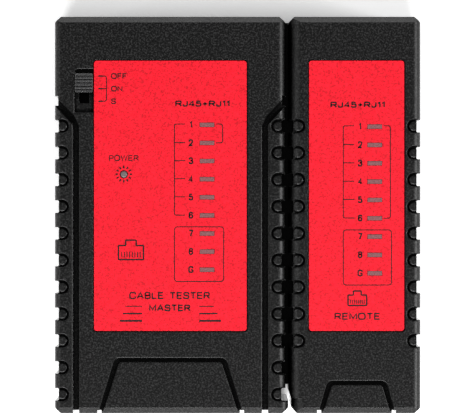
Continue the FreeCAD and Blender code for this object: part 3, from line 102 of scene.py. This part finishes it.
# Plain stroke letters: a width and strokes, all as a share of the letter's height.
LETTERS = {
    "A": (0.96, (
        straight((0, 0), (0.48, 1), (0.96, 0)),
        straight((0.18, 0.34), (0.78, 0.34)))),
    "B": (0.80, (
        straight((0, 0), (0, 1)),
        curve(0.25, (0, 1), (0.74, 1), (0.74, 0.53), (0, 0.53)),
        curve(0.26, (0, 0.53), (0.80, 0.53), (0.80, 0), (0, 0)))),
    "C": (0.90, (
        curve(ROUND, (0.90, 0.66), (0.90, 1), (0, 1), (0, 0), (0.90, 0), (0.90, 0.34)),)),
    "E": (0.74, (
        straight((0.74, 1), (0, 1), (0, 0), (0.74, 0)),
        straight((0, 0.52), (0.68, 0.52)))),
    "F": (0.70, (
        straight((0.70, 1), (0, 1), (0, 0)),
        straight((0, 0.50), (0.62, 0.50)))),
    "G": (0.92, (
        curve(ROUND, (0.88, 0.70), (0.88, 1), (0, 1), (0, 0), (0.90, 0), (0.90, 0.40)),
        straight((0.92, 0.44), (0.48, 0.44)))),
    "J": (0.60, (curve(0.30, (0.60, 1), (0.60, 0), (0, 0), (0, 0.34)),)),
    "L": (0.68, (straight((0, 1), (0, 0), (0.68, 0)),)),
    "M": (0.98, (straight((0, 0), (0, 1), (0.49, 0.14), (0.98, 1), (0.98, 0)),)),
    "N": (0.86, (straight((0, 0), (0, 1), (0.86, 0), (0.86, 1)),)),
    "O": (0.98, (ring(ROUND, (0, 0), (0.98, 0), (0.98, 1), (0, 1)),)),
    "P": (0.78, (
        straight((0, 0), (0, 1)),
        curve(0.27, (0, 1), (0.78, 1), (0.78, 0.46), (0, 0.46)))),
    "R": (0.84, (
        straight((0, 0), (0, 1)),
        curve(0.26, (0, 1), (0.80, 1), (0.80, 0.48), (0, 0.48)),
        straight((0.46, 0.48), (0.84, 0)))),
    "S": (0.80, (
        curve(
            0.26, (0.77, 0.70), (0.77, 1), (0.03, 1), (0.03, 0.52),
            (0.80, 0.52), (0.80, 0), (0, 0), (0, 0.30)),)),
    "T": (0.80, (
        straight((0, 1), (0.80, 1)),
        straight((0.40, 1), (0.40, 0)))),
    "W": (1.24, (straight((0, 1), (0.30, 0), (0.62, 1), (0.94, 0), (1.24, 1)),)),
    "1": (0.34, (straight((0, 0.76), (0.30, 1), (0.30, 0)),)),
    "2": (0.70, (
        curve(0.24, (0.02, 0.68), (0.02, 1), (0.68, 1), (0.68, 0.52), (0, 0), (0.02, 0)),
        straight((0, 0), (0.70, 0)))),
    "3": (0.70, (
        curve(0.25, (0.03, 0.72), (0.03, 1), (0.66, 1), (0.66, 0.54), (0.26, 0.54)),
        curve(0.26, (0.26, 0.54), (0.70, 0.54), (0.70, 0), (0, 0), (0, 0.28)))),
    "4": (0.76, (straight((0.55, 0), (0.55, 1), (0, 0.28), (0.76, 0.28)),)),
    "5": (0.70, (
        straight((0.64, 1), (0.10, 1), (0.04, 0.50)),
        curve(0.28, (0.04, 0.50), (0.20, 0.62), (0.70, 0.62), (0.70, 0), (0, 0), (0, 0.26)))),
    "6": (0.70, (
        ring(0.30, (0, 0), (0.70, 0), (0.70, 0.58), (0, 0.58)),
        curve(0.34, (0, 0.30), (0, 1), (0.66, 1), (0.66, 0.74)))),
    "7": (0.68, (straight((0, 1), (0.68, 1), (0.24, 0)),)),
    "8": (0.70, (
        ring(0.24, (0.04, 0.54), (0.66, 0.54), (0.66, 1), (0.04, 1)),
        ring(0.27, (0, 0), (0.70, 0), (0.70, 0.54), (0, 0.54)))),
    "+": (0.66, (
        straight((0, 0.46), (0.66, 0.46)),
        straight((0.33, 0.13), (0.33, 0.79)))),
}


# ---------------------------------------------------------------- materials

class Recipe:
    """A material under construction: its nodes, and short ways to add and link them. All sizes
    are in millimetres."""

    def __init__(self, name):
        self.material = bpy.data.materials.new(name)
        self.material.use_nodes = True
        self.nodes = self.material.node_tree.nodes
        self.links = self.material.node_tree.links
        self.shader = self.nodes["Principled BSDF"]
        self.place = self.nodes.new("ShaderNodeTexCoord").outputs["Object"]

    def set(self, **values):
        for name, value in values.items():
            self.shader.inputs[name.replace("_", " ")].default_value = value
        return self

    def noise(self, size, detail=2.0, roughness=0.5, stretch=None):
        """Noise whose features are about one size across."""
        node = self.nodes.new("ShaderNodeTexNoise")
        node.inputs["Scale"].default_value = 1 / (size * MM)
        node.inputs["Detail"].default_value = detail
        node.inputs["Roughness"].default_value = roughness
        vector = self.place
        if stretch:
            mapping = self.nodes.new("ShaderNodeMapping")
            mapping.inputs["Scale"].default_value = stretch
            self.links.new(vector, mapping.inputs["Vector"])
            vector = mapping.outputs["Vector"]
        self.links.new(vector, node.inputs["Vector"])
        return node.outputs["Fac"]

    def ramp(self, factor, stops):
        """Colours or greys at positions along a factor."""
        node = self.nodes.new("ShaderNodeValToRGB")
        elements = node.color_ramp.elements
        while len(elements) < len(stops):
            elements.new(0.5)
        for element, (position, colour) in zip(elements, stops):
            element.position = position
            element.color = colour if isinstance(colour, tuple) else (colour, colour, colour, 1)
        self.links.new(factor, node.inputs["Fac"])
        return node.outputs["Color"]

    def mix(self, factor, first, second, blend="MIX"):
        node = self.nodes.new("ShaderNodeMix")
        node.data_type = "RGBA"
        node.blend_type = blend
        factor_socket, first_socket, second_socket = node.inputs[0], node.inputs[6], node.inputs[7]
        for socket, value in (
                (factor_socket, factor), (first_socket, first), (second_socket, second)):
            if isinstance(value, bpy.types.NodeSocket):
                self.links.new(value, socket)
            else:
                socket.default_value = value
        return node.outputs[2]

    def colour(self, output):
        self.links.new(output, self.shader.inputs["Base Color"])

    def roughness(self, output):
        self.links.new(output, self.shader.inputs["Roughness"])

    def rough(self, factor, low, high):
        """Roughness that follows a factor from low to high."""
        self.roughness(self.ramp(factor, ((0.3, low), (0.7, high))))

    def openness(self, distance):
        """A factor near 1 on open faces and lower in hollows narrower than a distance."""
        node = self.nodes.new("ShaderNodeAmbientOcclusion")
        node.samples = 8
        node.inputs["Distance"].default_value = distance * MM
        return node.outputs["AO"]

    def edges(self, radius):
        """A factor that is 0 on flat faces and 1 where the surface bends within a radius."""
        soft = self.nodes.new("ShaderNodeBevel")
        soft.samples = 6
        soft.inputs["Radius"].default_value = radius * MM
        plain = self.nodes.new("ShaderNodeNewGeometry")
        turn = self.nodes.new("ShaderNodeVectorMath")
        turn.operation = "DOT_PRODUCT"
        self.links.new(soft.outputs["Normal"], turn.inputs[0])
        self.links.new(plain.outputs["True Normal"], turn.inputs[1])
        return self.ramp(turn.outputs["Value"], ((0.94, 1.0), (0.998, 0.0)))

    def bump(self, height, distance, strength=1.0, edge=0.0):
        """Surface relief of a depth, over edges softened by a radius. The recipe is then done."""
        node = self.nodes.new("ShaderNodeBump")
        node.inputs["Distance"].default_value = distance * MM
        node.inputs["Strength"].default_value = strength
        self.links.new(height, node.inputs["Height"])
        if edge:
            soft = self.nodes.new("ShaderNodeBevel")
            soft.samples = 4
            soft.inputs["Radius"].default_value = edge * MM
            self.links.new(soft.outputs["Normal"], node.inputs["Normal"])
        self.links.new(node.outputs["Normal"], self.shader.inputs["Normal"])
        return self


def shade(red, green, blue):
    return (red, green, blue, 1.0)


def grey(level):
    return shade(level, level, level)


def scaled(colour, factor):
    """The same colour, lighter or darker."""
    return shade(*(part * factor for part in colour[:3]))


def tinted(recipe, colour, size, spread, detail=3.0):
    """Colour that wanders a little lighter and darker, in patches of one size."""
    dark, painted_hollow_shade = scaled(colour, 1 - spread), scaled(colour, 1 + spread)
    return recipe.ramp(recipe.noise(size, detail), ((0.32, dark), (0.68, painted_hollow_shade)))


def case_plastic():
    """Black moulded plastic: spark-eroded grain on the faces, glossier edges painted lighter as a
    painted highlight, smooth hollows painted darker as painted shade.
    """
    made = Recipe("case_plastic").set(IOR=1.38)
    grain = made.noise(0.46, roughness=0.6)
    open_air = made.openness(5.0)
    # Painted highlight: where the surface bends at edges the colour is made lighter. The same mask
    # also lowers the roughness there.
    edge_highlight_and_gloss = made.edges(0.35)
    # Painted shade: the colour is darkened in hollows, by how little open air a point sees.
    painted_hollow_shade = made.ramp(open_air, ((0.62, 0.05), (0.90, 1.0)))
    speckle = made.ramp(grain, ((0.38, 0.0002), (0.50, 0.0026), (0.64, 0.0250)))
    faces = made.mix(1.0, painted_hollow_shade, speckle, "MULTIPLY")
    made.colour(made.mix(edge_highlight_and_gloss, faces, grey(0.008)))
    rough = made.ramp(made.noise(0.8, detail=3.0), ((0.3, 0.38), (0.7, 0.48)))
    outer = made.mix(edge_highlight_and_gloss, rough, grey(0.16))
    hollow = made.ramp(open_air, ((0.45, 1.0), (0.80, 0.0)))
    made.roughness(made.mix(hollow, outer, grey(0.12)))
    return made.bump(grain, 0.030, strength=0.55, edge=0.10).material


def jack_plastic():
    made = Recipe("jack_plastic").set(IOR=1.48)
    made.colour(tinted(made, shade(0.010, 0.010, 0.011), 1.2, 0.3))
    made.rough(made.noise(2.0), 0.24, 0.38)
    return made.bump(made.noise(0.8), 0.01, strength=0.3, edge=0.12).material


def knob_plastic():
    """The same black plastic, its ribs painted paler where they bend, a painted highlight."""
    made = Recipe("knob_plastic").set(IOR=1.46)
    # Painted highlight: the rib edges are coloured pale grey.
    painted_rib_highlight = made.edges(0.22)
    black = tinted(made, shade(0.018, 0.018, 0.019), 0.5, 0.5)
    made.colour(made.mix(painted_rib_highlight, black, grey(0.13)))
    made.rough(made.noise(0.6), 0.26, 0.40)
    return made.bump(made.noise(0.4), 0.03, strength=0.4, edge=0.14).material


def label_film():
    """Red printed film with a fine grain."""
    made = Recipe("label_film").set(IOR=1.33)
    red = tinted(made, shade(0.74, 0.0060, 0.0190), 0.42, 0.40, detail=2.0)
    wide = made.ramp(made.noise(9.0, detail=1.0), ((0.3, 0.965), (0.7, 1.0)))
    made.colour(made.mix(1.0, red, wide, "MULTIPLY"))
    made.rough(made.noise(1.2), 0.50, 0.62)
    return made.bump(made.noise(0.35, detail=3.0), 0.012, strength=0.35, edge=0.08).material


def ink():
    """Black screen-printed ink, a little uneven in cover."""
    made = Recipe("print_ink").set(IOR=1.45)
    made.colour(tinted(made, shade(0.008, 0.003, 0.004), 0.35, 0.5))
    made.rough(made.noise(0.5), 0.42, 0.56)
    return made.bump(made.noise(0.25), 0.006, strength=0.4).material


def led_lens(name, colour):
    """A milky lens with fine internal flecks."""
    made = Recipe(name).set(IOR=1.50)
    flecks = made.noise(0.34, detail=3.0, roughness=0.7)
    made.colour(made.ramp(flecks, ((0.38, scaled(colour, 0.55)), (0.60, colour))))
    made.rough(made.noise(0.5), 0.34, 0.5)
    return made.bump(flecks, 0.02, strength=0.5, edge=0.10).material


def metal(name, colour, low, high, scratch=(1, 1, 1)):
    """Bare or plated metal, its gloss broken by streaks that run along a stretch."""
    made = Recipe(name).set(Metallic=1.0)
    streaks = made.noise(0.8, detail=4.0, roughness=0.6, stretch=scratch)
    made.colour(tinted(made, colour, 0.9, 0.10))
    made.rough(streaks, low, high)
    return made.bump(streaks, 0.006, strength=0.4, edge=0.08).material


def board_laminate():
    """Green solder mask with lighter tracks under it."""
    made = Recipe("board_laminate").set(IOR=1.52)
    tracks = made.nodes.new("ShaderNodeTexBrick")
    tracks.inputs["Scale"].default_value = 1 / (9.0 * MM)
    tracks.inputs["Mortar Size"].default_value = 0.045
    tracks.inputs["Color1"].default_value = shade(0.006, 0.105, 0.030)
    tracks.inputs["Color2"].default_value = shade(0.005, 0.090, 0.026)
    tracks.inputs["Mortar"].default_value = shade(0.020, 0.210, 0.070)
    made.links.new(made.place, tracks.inputs["Vector"])
    speckle = made.ramp(made.noise(0.6), ((0.3, 0.88), (0.7, 1.0)))
    made.colour(made.mix(1.0, tracks.outputs["Color"], speckle, "MULTIPLY"))
    made.rough(made.noise(1.5), 0.28, 0.42)
    return made.bump(tracks.outputs["Fac"], 0.03, strength=0.5).material


def plain(name, colour, low, high, size=0.8, spread=0.2):
    """A small moulded or lacquered piece: wandering colour, uneven gloss, faint relief."""
    made = Recipe(name).set(IOR=1.47)
    made.colour(tinted(made, colour, size, spread))
    made.rough(made.noise(size * 1.5), low, high)
    return made.bump(made.noise(size * 0.6), 0.012, strength=0.4, edge=0.1).material


def battery_wrap():
    """A plain steel jacket: dark for most of its length, with a bright band near the terminals."""
    made = Recipe("battery_wrap").set(IOR=1.5, Metallic=0.35)
    low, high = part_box("battery")
    split = made.nodes.new("ShaderNodeSeparateXYZ")
    made.links.new(made.place, split.inputs[0])
    along = made.nodes.new("ShaderNodeMapRange")
    along.inputs["From Min"].default_value = low[1]
    along.inputs["From Max"].default_value = high[1]
    made.links.new(split.outputs["Y"], along.inputs["Value"])
    dark, bright = shade(0.020, 0.022, 0.026), shade(0.45, 0.46, 0.48)
    bands = made.ramp(along.outputs["Result"], (
        (0.0, dark), (0.715, dark), (0.72, bright), (1.0, bright)))
    speckle = made.ramp(made.noise(0.9), ((0.3, 0.86), (0.7, 1.0)))
    made.colour(made.mix(1.0, bands, speckle, "MULTIPLY"))
    made.rough(made.noise(1.4), 0.26, 0.40)
    return made.bump(made.noise(1.0), 0.01, strength=0.3, edge=0.15).material


def foam():
    made = Recipe("foam").set(IOR=1.4)
    cells = made.noise(0.5, detail=3.0, roughness=0.7)
    made.colour(made.ramp(cells, ((0.35, 0.010), (0.65, 0.045))))
    made.rough(cells, 0.8, 0.95)
    return made.bump(cells, 0.12, strength=0.9).material


def floor_material():
    """A white table that glows a little."""
    made = Recipe("studio_floor").set(IOR=1.3, Emission_Strength=0.33, Emission_Color=grey(1.0))
    made.colour(tinted(made, grey(0.92), 6.0, 0.01))
    made.rough(made.noise(5.0), 0.7, 0.8)
    return made.bump(made.noise(2.0), 0.01, strength=0.1).material


def make_materials():
    """One material for each material slot of the record."""
    return {
        "case_plastic": case_plastic(),
        "label_film": label_film(),
        "board_laminate": board_laminate(),
        "jack_plastic": jack_plastic(),
        "contact_metal": metal("contact_metal", shade(0.82, 0.60, 0.24), 0.16, 0.30),
        "screw_steel": metal("screw_steel", shade(0.40, 0.40, 0.41), 0.28, 0.44),
        "switch_steel": metal("switch_steel", shade(0.020, 0.020, 0.021), 0.30, 0.46, (1, 8, 1)),
        "led_lens": led_lens("led_lens", shade(0.245, 0.100, 0.106)),
        "power_lens": led_lens("power_lens", shade(0.165, 0.140, 0.140)),
        "knob_plastic": knob_plastic(),
        "chip_plastic": plain("chip_plastic", shade(0.018, 0.018, 0.020), 0.45, 0.62, 0.4, 0.3),
        "capacitor_sleeve": plain("capacitor_sleeve", shade(0.014, 0.030, 0.150), 0.22, 0.34),
        "resistor_body": plain("resistor_body", shade(0.62, 0.47, 0.28), 0.36, 0.50, 0.7, 0.12),
        "diode_glass": plain("diode_glass", shade(0.50, 0.17, 0.05), 0.10, 0.20, 0.6, 0.25),
        "battery_wrap": battery_wrap(),
        "connector_vinyl": plain("connector_vinyl", grey(0.014), 0.40, 0.55),
        "red_insulation": plain("red_insulation", shade(0.50, 0.012, 0.012), 0.34, 0.48),
        "black_insulation": plain("black_insulation", grey(0.012), 0.34, 0.48),
        "foam": foam(),
    }


def dress_nodes(materials):
    """Every CAD node gets the material of its slot."""
    slots = {entry["node"]: entry["material_slot"] for entry in frame["record"]["subparts"]}
    for name, thing in NODES.items():
        material = materials[slots[name]]
        if not thing.material_slots:
            thing.data.materials.append(material)
        for slot in thing.material_slots:
            slot.material = material


# ---------------------------------------------------------------- printed ink

INK_SINK = 0.01   # how far the ink reaches into the label
INK_PROUD = 0.03  # how far it stands on it
SHARPEST = 0.6    # keeps the mitre of a sharp corner short


class Print:
    """The ink on one label, gathered into one mesh of thin closed solids."""

    def __init__(self, unit):
        self.unit = unit
        self.mesh = bmesh.new()
        surface = node_box(unit + "_label")[1].z
        self.low, self.high = surface - INK_SINK, surface + INK_PROUD

    def strip(self, inner, outer, closed):
        """A thin solid between two matching rows of points."""
        count = len(inner)
        edges = (inner, self.low), (outer, self.low), (outer, self.high), (inner, self.high)
        rows = [
            [self.mesh.verts.new((x * MM, y * MM, height * MM)) for x, y in points]
            for points, height in edges]
        for number in range(count if closed else count - 1):
            after = (number + 1) % count
            for side in range(4):
                near, far = rows[side], rows[(side + 1) % 4]
                self.mesh.faces.new((near[number], near[after], far[after], far[number]))
        if not closed:
            self.mesh.faces.new([row[0] for row in rows])
            self.mesh.faces.new([row[-1] for row in reversed(rows)])

    def line(self, points, width, radius=0.0, closed=False):
        """A line of one width through points, with its corners rounded."""
        spots = rounded_path([Vector(point) for point in points], radius, closed)
        count = len(spots)
        left, right = [], []
        for number, spot in enumerate(spots):
            before = spots[number - 1] if closed or number else spot
            after = spots[(number + 1) % count] if closed or number < count - 1 else spot
            into = (spot - before).normalized() if before != spot else (after - spot).normalized()
            out = (after - spot).normalized() if after != spot else into
            side = Vector((-(into + out).y, (into + out).x)).normalized()
            reach = width / 2 / max(SHARPEST, side.dot(Vector((-into.y, into.x))))
            left.append(spot + side * reach)
            right.append(spot - side * reach)
        self.strip(left, right, closed)

    def bar(self, start, end, width):
        self.line([start, end], width)

    def text(self, words, x, y, cap, width, weight=NORMAL):
        """Words centred on (x, y), from stroke letters of one height spread over a width."""
        tall = cap - weight
        shapes = [LETTERS.get(letter, SPACE) for letter in words]
        stretch = (width - weight) / (sum(wide + LETTER_GAP for wide, _ in shapes) - LETTER_GAP)
        left = x - (width - weight) / 2
        for wide, strokes in shapes:
            for radius, closed, points in strokes:
                spots = [(left + across * stretch, y + (up - 0.5) * tall) for across, up in points]
                self.line(spots, weight, radius * tall, closed)
            left += (wide + LETTER_GAP) * stretch

    def finish(self, material):
        """The gathered ink as one piece that rides on the unit."""
        bmesh.ops.recalc_face_normals(self.mesh, faces=self.mesh.faces)
        data = bpy.data.meshes.new(self.unit + "_print")
        self.mesh.to_mesh(data)
        self.mesh.free()
        data.materials.append(material)
        piece = bpy.data.objects.new(self.unit + "_print", data)
        bpy.context.scene.collection.objects.link(piece)
        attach(piece, self.unit)


def rounded_path(points, radius, closed, steps=4):
    """The points with each corner replaced by a short arc."""
    if not radius:
        return points
    count = len(points)
    result = []
    for number, corner in enumerate(points):
        if not closed and number in (0, count - 1):
            result.append(corner)
            continue
        before = corner - points[number - 1]
        after = points[(number + 1) % count] - corner
        start = corner - before.normalized() * min(radius, before.length / 2)
        end = corner + after.normalized() * min(radius, after.length / 2)
        for step in range(steps + 1):
            part = step / steps
            rest = 1 - part
            result.append(start * rest ** 2 + corner * 2 * part * rest + end * part ** 2)
    return result


LENS_FOOT = 0.5     # a lens is this much wider under the label, at each end
DIGIT_TALL = 1.95
DIGIT_WIDE = {"1": 0.78, "g": 1.5}
USUAL_DIGIT = 1.3   # width of the other digits
TICK_GAP = 1.62     # middle of a digit to the tick on its left
OUTER_GAP = 2.35    # right end of a lens to the bracket on its right
FRAME_PAST = 0.3    # the frame goes this much further right than that bracket
FRAME_OVER = 1.85   # lamp 7 to the head of the frame
FRAME_UNDER = 3.3   # lamp G to its foot


def led_window(unit, tag):
    """Left end, right end and height of an LED's window, from the frame."""
    low, high = node_box("%s_led_%s" % (unit, tag))
    return low.x + LENS_FOOT, high.x - LENS_FOOT, (low.y + high.y) / 2


def led_legend(page, digit_gap, bracket_gap, pair_last):
    """Numbers beside the LEDs, brackets for the two plug kinds, and a frame round the last three.
    The right bracket runs from lamp 1 to the lamp pair_last."""
    left, right, _ = led_window(page.unit, "1")
    level = {tag: led_window(page.unit, tag)[2] for tag in LED_TAGS}
    digit_x, bracket_x, outer_x = left - digit_gap, left - bracket_gap, right + OUTER_GAP
    for tag, y in level.items():
        wide = DIGIT_WIDE.get(tag, USUAL_DIGIT)
        page.text(tag.upper(), digit_x, y + 0.05, cap=DIGIT_TALL, width=wide)

    first, sixth, last = level["1"] + 0.2, level["6"] + 0.05, level[pair_last]
    tick, start = digit_x - TICK_GAP, right + 0.5
    page.line([(tick, first), (bracket_x, first), (bracket_x, sixth), (tick, sixth)], FINE, 0.5)
    for tag in "2345":
        page.bar((bracket_x, level[tag] + 0.1), (tick, level[tag] + 0.1), FINE)
    page.line([(start, first), (outer_x, first), (outer_x, last), (start, last)], FINE, 0.6)

    top, foot, side = level["7"] + FRAME_OVER, level["g"] - FRAME_UNDER, outer_x + FRAME_PAST
    frame_corners = [(bracket_x, top), (bracket_x, foot), (side, foot), (side, top)]
    page.line(frame_corners, FINE, 0.9, closed=True)


def plug_sign(page, x, y, size):
    """A generic sign for a modular plug: its outline, its contacts and its latch."""
    half, tall = size / 2, size * 0.78
    base = y - tall / 2
    shoulder, top, latch = base + tall * 0.72, base + tall, half * 0.42
    page.line([
        (x - half, base), (x + half, base), (x + half, shoulder), (x + latch, shoulder),
        (x + latch, top), (x - latch, top), (x - latch, shoulder), (x - half, shoulder)],
        NORMAL, 0.25, closed=True)
    contacts = 8
    for number in range(contacts):
        place = x + (number - (contacts - 1) / 2) * size * 0.105
        page.bar((place, base + tall * 0.12), (place, base + tall * 0.40), FINE)


def switch_legend(page):
    """A bracket with three marks beside the switch bay: off, on and slow."""
    knob = node_box("switch_slider")
    edge = node_box("master_label")[0].x
    first = knob[1].y - 0.7
    step = 3.52
    dash, joint, bracket = edge + 1.2, edge + 2.4, edge + 3.5
    for number, (word, width) in enumerate((("OFF", 4.4), ("ON", 3.2), ("S", 1.35))):
        y = first - number * step
        page.text(word, bracket + 1.25 + width / 2, y, cap=1.6, width=width, weight=0.32)
        page.bar((dash, y), (joint, y), NORMAL)
    second, third = first - step, first - 2 * step
    page.bar((joint, second), (bracket, second), FINE)
    page.line([(joint, first), (bracket, first), (bracket, third), (joint, third)], FINE, 1.0)


def power_legend(page):
    """The word over the power LED, and rays round it."""
    centre = middle("power_led")
    page.text("POWER", centre.x, centre.y + 4.5, cap=1.65, width=8.3, weight=0.27)
    rays, ray_start, ray_long = 12, 1.62, 0.72
    for number in range(rays):
        angle = 2 * math.pi * number / rays
        way = Vector((math.cos(angle), math.sin(angle)))
        start = Vector((centre.x, centre.y)) + way * ray_start
        page.bar(start, start + way * ray_long, NORMAL)


def title_lines(page, x, y):
    """Three lines on each side of the title, longer and heavier downwards."""
    left, right = x - 6.95, x + 9.0
    for number, width in enumerate((FINE, NORMAL, BOLD)):
        level = y - number * 2.03
        page.bar((left - 4.6 - 0.8 * number, level), (left, level), width)
        page.bar((right, level), (right + 4.1 + 1.0 * number, level), width)


def print_master(material):
    page = Print("master")
    led_legend(page, digit_gap=2.5, bracket_gap=7.1, pair_last="2")
    left, _, y = led_window("master", "1")
    page.text("RJ45+RJ11", left + 0.75, y + 5.9, cap=1.75, width=15.3)
    switch_legend(page)
    power_legend(page)
    centre, foot = middle("master_label"), node_box("master_label")[0].y
    page.text("CABLE TESTER", centre.x - 0.2, foot + 9.85, cap=2.0, width=22.6, weight=0.38)
    page.text("MASTER", centre.x - 0.15, foot + 6.4, cap=1.9, width=11.6)
    title_lines(page, centre.x - 0.95, foot + 6.85)
    plug_sign(page, middle("power_led").x + 2.0, foot + 22.6, 7.0)
    page.finish(material)


def print_remote(material):
    page = Print("remote")
    led_legend(page, digit_gap=2.1, bracket_gap=6.8, pair_last="6")
    left, _, y = led_window("remote", "1")
    page.text("RJ45+RJ11", left - 2.75, y + 6.1, cap=1.75, width=15.3)
    centre, foot = middle("remote_label"), node_box("remote_label")[0].y
    page.text("REMOTE", centre.x + 0.2, foot + 4.05, cap=1.95, width=12.8, weight=0.38)
    plug_sign(page, centre.x + 0.2, foot + 9.1, 5.2)
    page.finish(material)


# ---------------------------------------------------------------- studio

# All in metres, but for the sensor.
CAMERA_DISTANCE = 0.70
VIEW_WIDTH = 0.1286
VIEW_CENTRE = (-0.0020, 0.0021)
SENSOR = 36.0
SIGHT = 20.0          # how far the camera sees
FLOOR_HALF = 3.0
FLOOR_DROP = 0.0001   # keeps the floor clear of the backs of both units
AIM = (0, 0, 0.02)    # where the lights point
ROOM_GLOW = 0.06


def make_floor():
    mesh = bpy.data.meshes.new("floor")
    half = FLOOR_HALF
    corners = [(-half, -half, 0), (half, -half, 0), (half, half, 0), (-half, half, 0)]
    mesh.from_pydata(corners, [], [(0, 1, 2, 3)])
    mesh.materials.append(floor_material())
    floor = bpy.data.objects.new("floor", mesh)
    floor.location.z = -FLOOR_DROP
    bpy.context.scene.collection.objects.link(floor)


def make_camera():
    """Straight above the front face, at the distance of a long lens."""
    data = bpy.data.cameras.new("camera")
    data.sensor_width = SENSOR
    data.lens = SENSOR * CAMERA_DISTANCE / VIEW_WIDTH
    data.clip_end = SIGHT
    camera = bpy.data.objects.new("camera", data)
    face = cad_bounds[1][2]
    camera.location = (VIEW_CENTRE[0], VIEW_CENTRE[1], face + CAMERA_DISTANCE)
    bpy.context.scene.collection.objects.link(camera)
    bpy.context.scene.camera = camera


def soft_box(name, place, size, power):
    """A rectangular area light that faces the tester. Its power is in watts."""
    data = bpy.data.lights.new(name, "AREA")
    data.shape = "RECTANGLE"
    data.size, data.size_y = size
    data.energy = power
    painted_hollow_shade = bpy.data.objects.new(name, data)
    painted_hollow_shade.location = place
    painted_hollow_shade.rotation_euler = (Vector(AIM) - Vector(place)).to_track_quat("-Z", "Y").to_euler()
    bpy.context.scene.collection.objects.link(painted_hollow_shade)


def make_lights():
    """Three soft boxes well off the vertical, a low card past the head, and a nearly dark room."""
    soft_box("key_light", (-0.12, -1.08, 0.90), size=(1.1, 0.36), power=30.0)
    soft_box("right_light", (1.10, -0.10, 0.85), size=(0.32, 0.6), power=14.0)
    soft_box("left_light", (-1.15, -0.10, 0.75), size=(0.32, 0.6), power=3.0)
    soft_box("back_card", (0.0, 1.2, 0.14), size=(2.0, 0.28), power=7.5)
    world = bpy.data.worlds.new("room")
    world.use_nodes = True
    background = world.node_tree.nodes["Background"]
    background.inputs["Color"].default_value = grey(1.0)
    background.inputs["Strength"].default_value = ROOM_GLOW
    bpy.context.scene.world = world
    bpy.context.scene.view_settings.view_transform = "Standard"


# ---------------------------------------------------------------- the scene

dress_nodes(make_materials())
ink_material = ink()
print_master(ink_material)
print_remote(ink_material)
make_floor()
make_camera()
make_lights()
